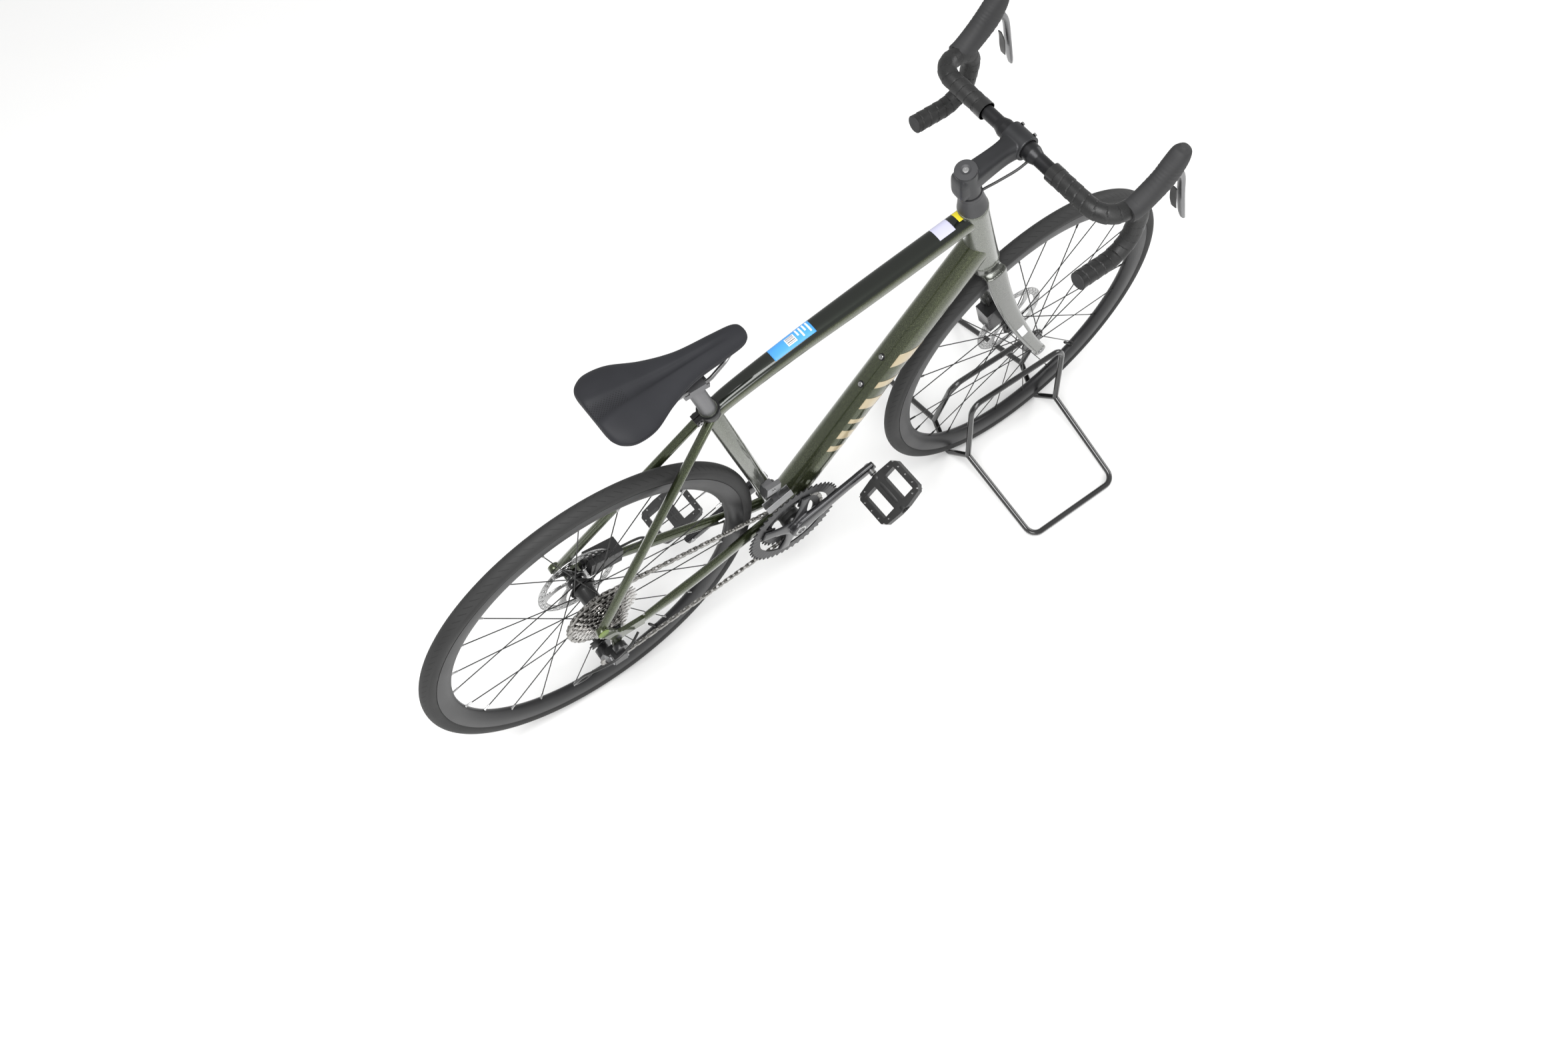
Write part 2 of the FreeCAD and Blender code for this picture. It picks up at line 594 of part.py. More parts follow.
def top_tube_sections():
    start, bend, end = on_steerer(543), Vector(-188, 0, 753), on_seat_tube(476)
    run, drop = (bend - start).normalize(), (end - bend).normalize()
    side, high = "Sizes.top_tube_{}_side", "Sizes.top_tube_{}_high"
    middle = start + (bend - start) * 0.5
    return [(start, run, ACROSS, side.format("head"), high.format("head")),
            (middle, run, ACROSS, side.format("head") + " + 1", high.format("head") + " - 1"),
            (bend, (run + drop).normalize(), ACROSS,
             side.format("seat") + " + 2", high.format("seat") + " + 1"),
            (end, drop, ACROSS, side.format("seat") + " - 1", high.format("seat"))]


DOWN_TUBE_TOP = on_steerer(450)
DOWN_TUBE_LOW = BRACKET + Vector(4, 0, 6)
DOWN_TUBE_RUN = (DOWN_TUBE_LOW - DOWN_TUBE_TOP).normalize()


def down_tube_sections():
    mid = (DOWN_TUBE_TOP + DOWN_TUBE_LOW) / 2
    return [(DOWN_TUBE_TOP, DOWN_TUBE_RUN, ACROSS, "Sizes.down_tube_head - 3", "Sizes.down_tube_head"),
            (mid, DOWN_TUBE_RUN, ACROSS, "Sizes.down_tube_head - 1", "Sizes.down_tube_head"),
            (DOWN_TUBE_LOW, DOWN_TUBE_RUN, ACROSS, "Sizes.down_tube_low_side", "Sizes.down_tube_low - 6")]


BOSS_SPACING = 64.0
BOSS_MIDDLE = 0.47


def bottle_boss(index):
    """The centre of a bottle boss on the upper face of the down tube, and the way it faces."""
    outward = DOWN_TUBE_RUN.cross(ACROSS)
    if outward.z < 0:
        outward = outward * -1
    middle = DOWN_TUBE_TOP + (DOWN_TUBE_LOW - DOWN_TUBE_TOP) * BOSS_MIDDLE
    centre = middle + DOWN_TUBE_RUN * (BOSS_SPACING * (index - 0.5))
    return centre, outward


def main_tubes():
    head_outside = head_tube()
    seat_outside, seat_bore = seat_tube()
    bracket = cross_bar("bb_outside", BRACKET, "Sizes.bb_shell_radius", "Sizes.bb_shell_half")
    spindle_way = cross_bar("spindle_way", BRACKET, "Sizes.spindle_radius + Sizes.running_gap", "60")
    node(cut("bb_shell", bracket, [spindle_way]), "bb_shell")
    node(cut("seat_tube", seat_outside, [bracket, seat_bore]), "seat_tube")
    top_outside, top_inside = hollow_pair("top_tube", top_tube_sections())
    node(cut("top_tube", top_outside, [top_inside, head_outside, seat_outside]), "top_tube")
    down_outside, down_inside = hollow_pair("down_tube", down_tube_sections())
    bosses, threads = [], []
    for index in range(2):
        centre, outward = bottle_boss(index)
        through = centre + outward * 15
        bosses.append(rod(f"bottle_boss_{index}", centre + outward * 20, outward, "Sizes.boss_radius", "9.6"))
        threads.append(rod(f"bottle_thread_{index}", through, outward, "Sizes.boss_thread", "20"))
    shell = cut("down_tube_shell", down_outside, [down_inside])
    whole = fuse("down_tube_whole", [shell] + bosses)
    node(cut("down_tube", whole, threads + [head_outside, bracket, seat_outside]), "down_tube")
    return seat_outside, bracket


def dropout(side):
    """The plate that joins both stays and holds the rear axle, with a capped top corner."""
    name = f"dropout_{SIDE_NAMES[side]}"
    face = REAR_AXLE + ACROSS * (side * 75)
    pieces = [cross_bar(f"{name}_eye", face, "15", "4"),
              cross_bar(f"{name}_cap", Vector(-530, side * 74, 390), "11", "5"),
              block(f"{name}_plate", Vector(-517, side * 75, 366), Rotation(ACROSS, -29.5), "20", "8", "52"),
              block(f"{name}_toe", Vector(-476, side * 75, 340), Rotation(ACROSS, 4), "54", "8", "22")]
    if side == RIGHT:
        pieces.append(block("hanger", Vector(-507, side * 75, 322), Rotation(), "16", "8", "38"))
    return pieces


def chainstay(side, bracket, seat_outside):
    name = f"chainstay_{SIDE_NAMES[side]}"
    route = [((-100, 18, 268), "9", "17"), ((-150, 22, 275), "9", "17"), ((-200, 30, 283), "8", "15"),
             ((-300, 48, 301), "8", "13"), ((-400, 63, 320), "7.5", "12"), ((-458, 73, 334), "6", "11")]
    centres = [Vector(x, side * y, z) for (x, y, z), _, _ in route]
    run = (centres[-1] - centres[0]).normalize()
    sections = [(centre, run, ACROSS, across, along) for centre, (_, across, along) in zip(centres, route)]
    stay = loft(f"{name}_tube", sections)
    whole = fuse(f"{name}_whole", [stay] + dropout(side))
    axle_way = cross_bar(f"{name}_axle_way", REAR_AXLE, "Sizes.axle_radius", "100")
    hub_way = cross_bar(f"{name}_hub_way", REAR_AXLE, "60", "Sizes.rear_hub_half + 0.4")
    return node(cut(name, whole, [bracket, seat_outside, axle_way, hub_way]), name)


def seatstay(side, seat_outside, chainstay_piece):
    name = f"seatstay_{SIDE_NAMES[side]}"
    top = on_seat_tube(480) + ACROSS * (side * 7)
    run = Vector(-526, side * 70.5, 393) - top
    stay = rod(f"{name}_tube", top, run, "Sizes.seatstay_radius", f"{run.Length:.3f}")
    return node(cut(name, stay, [seat_outside, chainstay_piece]), name)


def seat_collar():
    """The split clamp round the top of the seat tube, with its bolt ears behind."""
    start = on_seat_tube(484)
    ring = rod("collar_ring", start, SEAT_UP, "Sizes.seat_tube_radius + 3.5", "14.9")
    back = facing(SEAT_UP, Vector(-0.9518, 0, -0.3066))
    behind = start + SEAT_UP * 7.4 + back.multVec(Vector(23, 0, 0))
    ears = block("collar_ears", behind, back, "14", "18", "14")
    bore = rod("collar_bore", start - SEAT_UP * 5, SEAT_UP, "Sizes.seat_tube_radius", "40")
    gap = block("collar_gap", start + SEAT_UP * 7.4 + back.multVec(Vector(22, 0, 0)), back, "20", "2", "20")
    return fuse("collar_whole", [ring, ears]), bore, gap


# --- seatpost and saddle -------------------------------------------------------------------

POST_TOP = 607.0


def seatpost():
    outside = rod("post_outside", on_seat_tube(380), SEAT_UP, "Sizes.post_radius", f"{POST_TOP} - 380")
    bore = rod("post_hollow", on_seat_tube(375), SEAT_UP, "Sizes.post_bore", "205")
    return node(cut("seatpost", outside, [bore]), "seatpost")


def saddle_rails():
    rails = []
    for side in (LEFT, RIGHT):
        points = [Vector(-206, side * 9, 884), Vector(-228, side * 14, 866),
                  Vector(-262, side * 22, 857.5), Vector(-345, side * 22, 857.5),
                  Vector(-378, side * 28, 866), Vector(-424, side * 44, 884)]
        rails.append(bent_rod(f"rail_{SIDE_NAMES[side]}", points, [22, 40, 40, 40], "Sizes.rail_radius"))
    group = doc.addObject("Part::Compound", "rails_whole")
    group.Links = rails
    return group


def saddle():
    """The padded seat: oval sections from the narrow nose to the wide rear."""
    route = [(-183, 0, 12, 8, 893), (-192, 0, 19, 14, 891), (-230, 0, 23, 16, 889), (-290, 0, 29, 17, 888),
             (-340, 0, 45, 17, 889), (-385, 0, 68, 17, 892), (-420, 0, 71, 17, 895), (-442, 0, 58, 14, 898),
             (-452, 0, 40, 9, 900)]
    sections = [(Vector(x, y, height), Vector(-1, 0, 0), ACROSS, str(half), str(thick))
                for x, y, half, thick, height in route]
    return node(loft("saddle", sections), "saddle")


def saddle_group():
    post = seatpost()
    pad = saddle()
    rails = saddle_rails()
    node(cut("saddle_rails", rails, [pad]), "saddle_rails")
    top = on_seat_tube(POST_TOP)
    cradle = block("clamp_cradle", top + Vector(-2, 0, 6), Rotation(), "44", "54", "10")
    plate = block("clamp_plate", top + Vector(-2, 0, 14), Rotation(), "30", "56", "6")
    neck = rod("clamp_neck", on_seat_tube(POST_TOP - 12), SEAT_UP, "Sizes.post_radius + 2", "14")
    whole = fuse("clamp_whole", [cradle, plate, neck])
    node(cut("saddle_clamp", whole, [post, rails]), "saddle_clamp")


# --- drivetrain ----------------------------------------------------------------------------

def cassette():
    """Ten sprockets on the freehub, the largest next to the spokes."""
    teeth = [34, 30, 26, 23, 21, 19, 17, 15, 13, 11]
    pieces = []
    for index, count in enumerate(teeth):
        centre = REAR_AXLE + ACROSS * (CHAIN_REAR_Y - size("cog_pitch") * index)
        radius = f"Sizes.largest_cog * {count} / 34"
        pieces.append(cross_bar(f"cog_{count}", centre, radius, "Sizes.cog_half"))
    stack = size("cog_pitch") * (len(teeth) - 1)
    middle = REAR_AXLE + ACROSS * (CHAIN_REAR_Y - stack / 2)
    pieces.append(cross_bar("cog_spacers", middle, "Sizes.freehub_radius + 2.5", f"{stack / 2}"))
    bore = cross_bar("cassette_bore", middle, "Sizes.freehub_radius", "40")
    return node(cut("cassette", fuse("cassette_whole", pieces), [bore]), "cassette")


PEDAL_Y = 137.0


def crank(side):
    """A crank arm with its pedal axle; the right one carries the spider and the spindle."""
    name = f"crank_{SIDE_NAMES[side]}"
    way = CRANK_FORWARD * (-side)
    root = BRACKET + ACROSS * (side * 63)
    tip = BRACKET + way * size("crank_length") + ACROSS * (side * 73)
    run = (tip - root).normalize()
    turn = facing(run, ACROSS)
    pieces = [block(f"{name}_arm", (root + tip) / 2, turn, "14", "25", f"{(tip - root).Length:.3f}"),
              cross_bar(f"{name}_boss", root, "18", "8"), cross_bar(f"{name}_tip", tip, "13", "7"),
              cross_bar(f"{name}_axle", tip + ACROSS * (side * 48), "Sizes.pedal_axle", "48")]
    if side == RIGHT:
        pieces.append(cross_bar("spindle", BRACKET + ACROSS * 4, "Sizes.spindle_radius", "62"))
        pieces.append(cross_bar("spider_hub", BRACKET + ACROSS * -52.7, "24", "3.2"))
        for index in range(4):
            turn = Rotation(ACROSS, -27.5 + 45 + 90 * index)
            middle = BRACKET + ACROSS * -51.7 + turn.multVec(Vector(36, 0, 0))
            pieces.append(block(f"spider_{index}", middle, turn, "52", "4.4", "15"))
    whole = fuse_in_turn(f"{name}_whole", pieces)
    if side == RIGHT:
        return node(whole, name)
    socket = cross_bar("spindle_socket", BRACKET + ACROSS * 4, "Sizes.spindle_radius", "62")
    return node(cut(name, whole, [socket]), name)


def chainrings():
    """Outer and inner chainring as two plain toothless rings on the spider."""
    rings = []
    kinds = (("outer", "Sizes.outer_ring", "52", -48.1), ("inner", "Sizes.inner_ring", "46", -40))
    for label, radius, window, offset in kinds:
        centre = BRACKET + ACROSS * offset
        disc = cross_bar(f"{label}_disc", centre, radius, "Sizes.ring_half")
        rings.append(cut(f"{label}_chainring", disc, [cross_bar(f"{label}_window", centre, window, "4")]))
    bolts = []
    for index in range(4):
        turn = Rotation(ACROSS, -27.5 + 45 + 90 * index)
        middle = BRACKET + ACROSS * -44.05 + turn.multVec(Vector(55, 0, 0))
        bolts.append(cross_bar(f"ring_bolt_{index}", middle, "5", "4.05"))
    return node(fuse("chainrings", rings + bolts), "chainrings")


def pedal(side, tilt):
    """A platform pedal: an open six-sided frame round a central barrel."""
    name = f"pedal_{SIDE_NAMES[side]}"
    tip = BRACKET + CRANK_FORWARD * (-side) * size("crank_length")
    centre = Vector(tip.x, side * PEDAL_Y, tip.z)
    half_length, half_width = "Sizes.pedal_length / 2", "Sizes.pedal_width / 2"
    outline = [(half_length, f"{half_width} - 10"), (f"{half_length} - 8", f"{half_width} - 1"),
               ("12", f"{half_width} + 3"), ("-12", f"{half_width} + 3"),
               (f"8 - {half_length}", f"{half_width} - 1"), (f"-{half_length}", f"{half_width} - 10"),
               (f"-{half_length}", f"10 - {half_width}"), (f"8 - {half_length}", f"1 - {half_width}"),
               ("-12", f"-{half_width} - 3"), ("12", f"-{half_width} - 3"),
               (f"{half_length} - 8", f"1 - {half_width}"), (half_length, f"10 - {half_width}")]
    body = profile_body(f"{name}_frame", outline, "Pad", thickness="Sizes.pedal_thickness")
    turn = Rotation(ACROSS, tilt)
    body.Placement = Placement(centre, turn)
    windows = [block(f"{name}_window_{index}", centre + turn.multVec(Vector(way * 26, 0, 0)), turn,
                     "27", "Sizes.pedal_width - 26", "40")
               for index, way in enumerate((1, -1))]
    bore = cross_bar(f"{name}_bore", centre, "Sizes.pedal_axle + Sizes.running_gap", "60")
    return node(cut(name, body, windows + [bore]), name)


def tangent_point(centre, radius, direction_angle):
    return centre + Vector(math.cos(direction_angle), 0, math.sin(direction_angle)) * radius


def outer_tangent(first, second, radius_one, radius_two, side):
    """Touching points of the outside tangent of two circles, on the side given as 1 or -1."""
    gap = second - first
    heading = math.atan2(gap.z, gap.x)
    lean = math.acos((radius_one - radius_two) / gap.Length)
    angle = heading + side * lean
    return tangent_point(first, radius_one, angle), tangent_point(second, radius_two, angle)


def inner_tangent(first, second, radius_one, radius_two, side):
    """Touching points of the crossing tangent of two circles."""
    gap = second - first
    heading = math.atan2(gap.z, gap.x)
    lean = math.acos((radius_one + radius_two) / gap.Length)
    angle = heading + side * lean
    return tangent_point(first, radius_one, angle), tangent_point(second, radius_two, angle + math.pi)


def chain():
    """The closed chain as one band: two long runs, and wraps on ring, cog and both pulleys."""
    flat = [Vector(point.x, 0, point.z) for point in (BRACKET, REAR_AXLE, GUIDE_AXIS, TENSION_AXIS)]
    ring, cog, guide, tension = flat
    big, small = size("chain_pitch_radius"), size("pulley_pitch")
    cog_top, ring_top = outer_tangent(cog, ring, big, big, 1)
    tension_low, ring_low = outer_tangent(tension, ring, small, big, -1)
    tension_back, guide_front = inner_tangent(tension, guide, small, small, 1)
    guide_top, cog_back = inner_tangent(guide, cog, small, big, -1)
    ring_front = ring + Vector(big, 0, 0)
    tension_rear = tension + Vector(-small, 0, 0)
    guide_side = guide + Vector(small, 0, 0)
    cog_rear = cog + Vector(-big, 0, 0)
    edges = [Part.LineSegment(cog_top, ring_top), Part.Arc(ring_top, ring_front, ring_low),
             Part.LineSegment(ring_low, tension_low), Part.Arc(tension_low, tension_rear, tension_back),
             Part.LineSegment(tension_back, guide_front), Part.Arc(guide_front, guide_side, guide_top),
             Part.LineSegment(guide_top, cog_back), Part.Arc(cog_back, cog_rear, cog_top)]
    line = Part.Wire([edge.toShape() for edge in edges])
    half_height, half_width = size("chain_half_height"), size("chain_half_width")
    loops = [line.makeOffset2D(offset) for offset in (half_height, -half_height)]
    loops.sort(key=lambda loop: -Part.Face(loop).Area)
    face = Part.Face(loops[0]).cut(Part.Face(loops[1]))
    band = face.extrude(ACROSS * (2 * half_width))
    item = doc.addObject("Part::Feature", "chain")
    item.Shape = band.Solids[0]
    yaw = math.degrees(math.atan2(CHAIN_FRONT_Y - CHAIN_REAR_Y, ring.x - cog.x))
    turn = Rotation(UP, yaw)
    shift = Vector(REAR_AXLE.x, CHAIN_REAR_Y, 0) - turn.multVec(Vector(REAR_AXLE.x, half_width, 0))
    item.Placement = Placement(shift, turn)
    return node(item, "chain")


# --- derailleurs ---------------------------------------------------------------------------

def front_derailleur():
    """A bracket and body on the seat tube, and the cage that swings over the chain."""
    foot = on_seat_tube(140) + ACROSS * -12
    arm = block("fd_arm", Vector(foot.x, -22.5, foot.z + 4), Rotation(), "20", "17", "34")
    head = block("fd_head", Vector(foot.x + 2, -35, foot.z + 22), Rotation(), "30", "10", "24")
    mount = fuse("fd_mount_whole", [arm, head])
    turn = Rotation(ACROSS, -18)
    outward = turn.multVec(UP)
    plates = [block("fd_plate_outer", BRACKET + outward * 120 - ACROSS * 47.5, turn, "58", "1.6", "26"),
              block("fd_plate_inner", BRACKET + outward * 115 - ACROSS * 33.4, turn, "58", "1.6", "30")]
    bridge = block("fd_bridge", BRACKET + outward * 128 - ACROSS * 40.45, turn, "14", "15.7", "4")
    return mount, fuse("fd_cage", plates + [bridge])


def rear_derailleur():
    """Upper knuckle on the hanger, swinging links, lower knuckle, cage and two pulleys."""
    upper = [cross_bar("rd_knuckle_barrel", Vector(-507, -85.5, 312), "12.5", "6"),
             block("rd_knuckle_lug", Vector(-514, -90, 293), Rotation(), "26", "16", "22")]
    node(fuse("rd_upper_knuckle", upper), "rd_upper_knuckle")
    lower = [cross_bar("rd_lower_barrel", Vector(KNUCKLE_AXIS.x, -46, KNUCKLE_AXIS.z), "13", "8.5"),
             block("rd_lower_lug", Vector(-514, -59, 250), Rotation(), "26", "15", "22")]
    node(fuse("rd_lower_knuckle", lower), "rd_lower_knuckle")
    link_top, link_foot = Vector(0, -90, 290), Vector(0, -64, 254)
    run = link_foot - link_top
    middle = (link_top + link_foot) / 2
    plates = [block(f"rd_link_{index}", middle + Vector(x, 0, 0), facing(run, Vector(1, 0, 0)), "3", "16",
                    f"{run.Length + 4:.2f}")
              for index, x in enumerate((-499.2, -528.8))]
    group = doc.addObject("Part::Compound", "rd_links")
    group.Links = plates
    node(group, "rd_links")
    run = TENSION_AXIS - GUIDE_AXIS
    middle = (TENSION_AXIS + GUIDE_AXIS) / 2
    pieces = []
    for index, y in enumerate((-34.6, -17.4)):
        turn = facing(run, Vector(run.z, 0, -run.x))
        centre = Vector(middle.x, y, middle.z)
        pieces.append(block(f"rd_plate_{index}", centre, turn, "20", "1.6", f"{run.Length:.2f}"))
        for name, end in (("guide", GUIDE_AXIS), ("tension", TENSION_AXIS)):
            pieces.append(cross_bar(f"rd_{name}_eye_{index}", Vector(end.x, y, end.z), "13", "0.8"))
    for name, end in (("guide", GUIDE_AXIS), ("tension", TENSION_AXIS)):
        pieces.append(cross_bar(f"rd_{name}_pin", end, "2.5", "8.6"))
    node(fuse("rd_cage", pieces), "rd_cage")
    for name, end in (("guide", GUIDE_AXIS), ("tension", TENSION_AXIS)):
        disc = cross_bar(f"{name}_disc", end, "Sizes.pulley_radius", "3.4")
        bore = cross_bar(f"{name}_bore", end, "2.5 + Sizes.running_gap", "6")
        node(cut(f"{name}_pulley", disc, [bore]), f"{name}_pulley")


def shift_housing():
    """The cable housing that loops from the right chainstay round to the lower knuckle."""
    points = [Vector(-474, -86, 322), Vector(-516, -106, 320), Vector(-566, -92, 300), Vector(-597, -74, 262),
              Vector(-596, -60, 215), Vector(-566, -54, 196), Vector(-548, -52, 208)]
    route = bent_rod("shift_housing", points, [40, 44, 40, 26, 20], "Sizes.housing_radius")
    return node(route, "shift_housing")


# --- assembly ------------------------------------------------------------------------------

def build():
    sides = [stand_side(side) for side in (RIGHT, LEFT)]
    stand_cross_rods(sides)
    fork()
    axle("front", FRONT_AXLE, "62")
    headset()
    stem_and_faceplate()
    tapes = handlebar_and_tape()
    for side in (LEFT, RIGHT):
        hood(side, tapes[side])
        brake_lever(side)
        shift_paddle(side)
    front_caliper()
    wheel("front", FRONT_AXLE, "Sizes.front_hub_half", (21, -34), "Sizes.shell_radius", "front_rotor_y")
    wheel("rear", REAR_AXLE, "Sizes.rear_hub_half", (36, -15), "Sizes.rear_shell_radius", "rear_rotor_y")
    seat_outside, bracket = main_tubes()
    stays = {side: chainstay(side, bracket, seat_outside) for side in (LEFT, RIGHT)}
    seatstays = [seatstay(side, seat_outside, stays[side]) for side in (LEFT, RIGHT)]
    top_outside = doc.getObject("top_tube_outside")
    whole, bore, gap = seat_collar()
    node(cut("seat_collar", whole, [bore, gap, top_outside] + seatstays), "seat_collar")
    axle("rear", REAR_AXLE, "79")
    whole, slot = caliper("rear", REAR_AXLE, "rear_rotor_y", Vector(-446, 57, 366), 101, 14)
    node(cut("rear_caliper", whole, [slot, stays[LEFT]]), "rear_caliper")
    saddle_group()
    cassette()
    crank(LEFT)
    crank(RIGHT)
    chainrings()
    pedal(RIGHT, -41)
    pedal(LEFT, -20)
    chain()
    mount, cage = front_derailleur()
    node(cut("fd_body", mount, [seat_outside]), "fd_body")
    node(cage, "fd_cage")
    rear_derailleur()
    shift_housing()


def write_steps():
    """Recomputes, stops at any failed object or bad shape, and writes one file for each piece."""
    doc.recompute()
    failed = [item.Label for item in doc.Objects if {"Invalid", "Error"} & set(item.State)]
    pieces = {label: doc.getObjectsByLabel(label)[0].Shape for label in NODES}
    bad = [label for label, shape in pieces.items()
           if shape.isNull() or not shape.isValid() or not shape.Solids]
    if failed or bad:
        raise RuntimeError(f"failed objects {failed}, bad shapes {bad}")
    os.makedirs("parts", exist_ok=True)
    for label, shape in pieces.items():
        shape.exportStep(f"parts/{label}.step")
    print(len(pieces), "pieces written")


build()
write_steps()
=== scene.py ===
# %% [markdown]
# # A road bicycle in its floor stand
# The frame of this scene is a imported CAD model: every body, joint and rough solid is already in
# its place. This lesson gives each piece the surface that it has on the real bicycle. Most pieces
# are worked out with numpy as whole arrays of points, because a turned rim, a wrapped bar or a
# row of chain links is a short formula, and a formula gives the same mesh on each run.

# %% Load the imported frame
import json
import math
import bmesh
import bpy
import numpy as np
from mathutils import Matrix, Vector


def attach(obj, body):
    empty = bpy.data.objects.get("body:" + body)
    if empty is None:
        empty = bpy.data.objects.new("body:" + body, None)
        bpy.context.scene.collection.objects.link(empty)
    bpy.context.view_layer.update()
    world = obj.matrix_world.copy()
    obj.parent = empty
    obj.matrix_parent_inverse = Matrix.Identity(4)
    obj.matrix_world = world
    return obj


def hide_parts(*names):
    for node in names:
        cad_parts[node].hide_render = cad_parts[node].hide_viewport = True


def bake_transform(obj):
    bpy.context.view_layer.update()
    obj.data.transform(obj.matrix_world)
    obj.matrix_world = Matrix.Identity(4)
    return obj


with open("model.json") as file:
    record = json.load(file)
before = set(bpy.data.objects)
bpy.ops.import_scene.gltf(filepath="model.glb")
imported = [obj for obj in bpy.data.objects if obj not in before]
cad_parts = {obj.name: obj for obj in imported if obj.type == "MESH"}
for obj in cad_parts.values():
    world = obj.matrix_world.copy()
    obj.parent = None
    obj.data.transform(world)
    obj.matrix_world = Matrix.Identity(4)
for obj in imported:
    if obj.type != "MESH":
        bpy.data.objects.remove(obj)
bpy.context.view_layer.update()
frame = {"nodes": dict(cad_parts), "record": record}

# %% [markdown]
# Places come from the joints of the record, so a wheel is always round its own axle. The source
# is in metres, and `at` turns a drawing's millimetres into a point.

# %% Places that the pieces are set out from
JOINTS = {joint["name"]: joint for joint in frame["record"]["behaviour"]["joints"]}
X_AXIS, Y_AXIS, Z_AXIS = np.eye(3)
SIDES = {"left": 1, "right": -1}
MM = 0.001


def at(x, y, z):
    """A point given in millimetres, in metres."""
    return np.array([x, y, z]) * MM


def joint_place(name):
    return np.array(JOINTS[name]["pos_m"])


def joint_axis(name):
    return np.array(JOINTS[name]["axis"])


FRONT_AXLE, REAR_AXLE = joint_place("front_wheel_spin"), joint_place("rear_wheel_spin")
BRACKET = joint_place("crank_spin")
STEER_FOOT, STEER_UP = joint_place("steer"), joint_axis("steer")
STEER_FORWARD = np.cross(Y_AXIS, STEER_UP)
SEAT_UP = joint_axis("seat_height")
SEAT_FOOT = at(-99, 0, 268)
SEAT_BACK = np.cross(SEAT_UP, Y_AXIS)
BAR_CENTRE = at(345, 0, 963)


def on_steerer(distance):
    """A point on the steering axis, in millimetres above its foot."""
    return STEER_FOOT + STEER_UP * distance * MM


def on_seat_tube(distance):
    """A point on the seat tube's axis, in millimetres above the bottom bracket."""
    return SEAT_FOOT + SEAT_UP * distance * MM


print("wheelbase", round(float(FRONT_AXLE[0] - REAR_AXLE[0]), 4), "m")

# %% [markdown]
# ## Camera, floor and light
# The viewpoint is high up behind the bicycle's right side. The light is a white studio: a bright
# even dome, one large soft panel above and two weaker ones, at the right side and in front, so
# gloss shows as long soft streaks and the floor stays nearly white with faint shadows.

# %% Camera
CAMERA_PLACE = (-0.9293, -0.9785, 2.5874)
LOOK_TOWARDS = (0.31107, 0.35683, -0.88086)
ROLL = math.radians(-4.42)
LENS, SENSOR = 32.21, 36.0
camera = bpy.data.objects.new("camera", bpy.data.cameras.new("camera"))
camera.data.lens = LENS
camera.data.sensor_width = SENSOR
camera.location = CAMERA_PLACE
camera.rotation_mode = "QUATERNION"
turn_to_object = Vector(LOOK_TOWARDS).to_track_quat("-Z", "Y")
camera.rotation_quaternion = turn_to_object @ Matrix.Rotation(-ROLL, 3, "Z").to_quaternion()
bpy.context.scene.collection.objects.link(camera)
bpy.context.scene.camera = camera
print("camera", tuple(camera.location))

# %% Floor, lamps and sky
FLOOR_SIZE = 14.0
bpy.ops.mesh.primitive_plane_add(size=FLOOR_SIZE)
floor = bpy.context.object
floor.name = "floor"


def lamp(name, place, target, width, power):
    """A square soft panel that faces a target point."""
    light = bpy.data.objects.new(name, bpy.data.lights.new(name, "AREA"))
    light.data.size = width
    light.data.energy = power
    light.location = place
    light.rotation_euler = (Vector(target) - Vector(place)).to_track_quat("-Z", "Y").to_euler()
    bpy.context.scene.collection.objects.link(light)


lamp("panel_above", (-1.3, -0.5, 3.7), (0, 0, 0.3), 2.2, 128)
lamp("panel_right", (-0.9, -3.2, 2.2), (0, 0, 0.5), 1.6, 52)
lamp("panel_front", (3.2, -0.4, 1.9), (0.2, 0, 0.5), 1.4, 34)
sky = bpy.data.worlds.new("studio")
sky.use_nodes = True
sky.node_tree.nodes["Background"].inputs["Color"].default_value = (1.0, 1.0, 1.0, 1.0)
sky.node_tree.nodes["Background"].inputs["Strength"].default_value = 0.62
bpy.context.scene.world = sky
bpy.context.scene.view_settings.view_transform = "Standard"
print("lamps", [item.name for item in bpy.data.lights])

# %% [markdown]
# ## Shared effects
# No real surface is one flat colour. Two node groups are built once and placed in each material:
# `grain` gives fine noise for a bump and broad noise for patchy colour, and `flake` gives the
# tiny bright cells of a metallic paint. Both read Object coordinates, so they stay on the piece.

# %% Group builder
def new_group(name, inputs, outputs):
    """An empty node group with float sockets; returns the tree, its input node and output node."""
    tree = bpy.data.node_groups.new(name, "ShaderNodeTree")
    for label, value in inputs:
        tree.interface.new_socket(label, in_out="INPUT", socket_type="NodeSocketFloat").default_value = value
    for label in outputs:
        tree.interface.new_socket(label, in_out="OUTPUT", socket_type="NodeSocketFloat")
    return tree, tree.nodes.new("NodeGroupInput"), tree.nodes.new("NodeGroupOutput")


def math_node(tree, operation, first, second=None):
    """A Math node whose inputs are sockets or plain numbers."""
    item = tree.nodes.new("ShaderNodeMath")
    item.operation = operation
    for index, value in enumerate((first, second)):
        if isinstance(value, (int, float)):
            item.inputs[index].default_value = value
        elif value is not None:
            tree.links.new(value, item.inputs[index])
    return item.outputs[0]


def noise_node(tree, coordinates, scale, detail):
    item = tree.nodes.new("ShaderNodeTexNoise")
    item.inputs["Detail"].default_value = detail
    tree.links.new(coordinates, item.inputs["Vector"])
    if isinstance(scale, (int, float)):
        item.inputs["Scale"].default_value = scale
    else:
        tree.links.new(scale, item.inputs["Scale"])
    return item.outputs[0]


print("group tools ready")


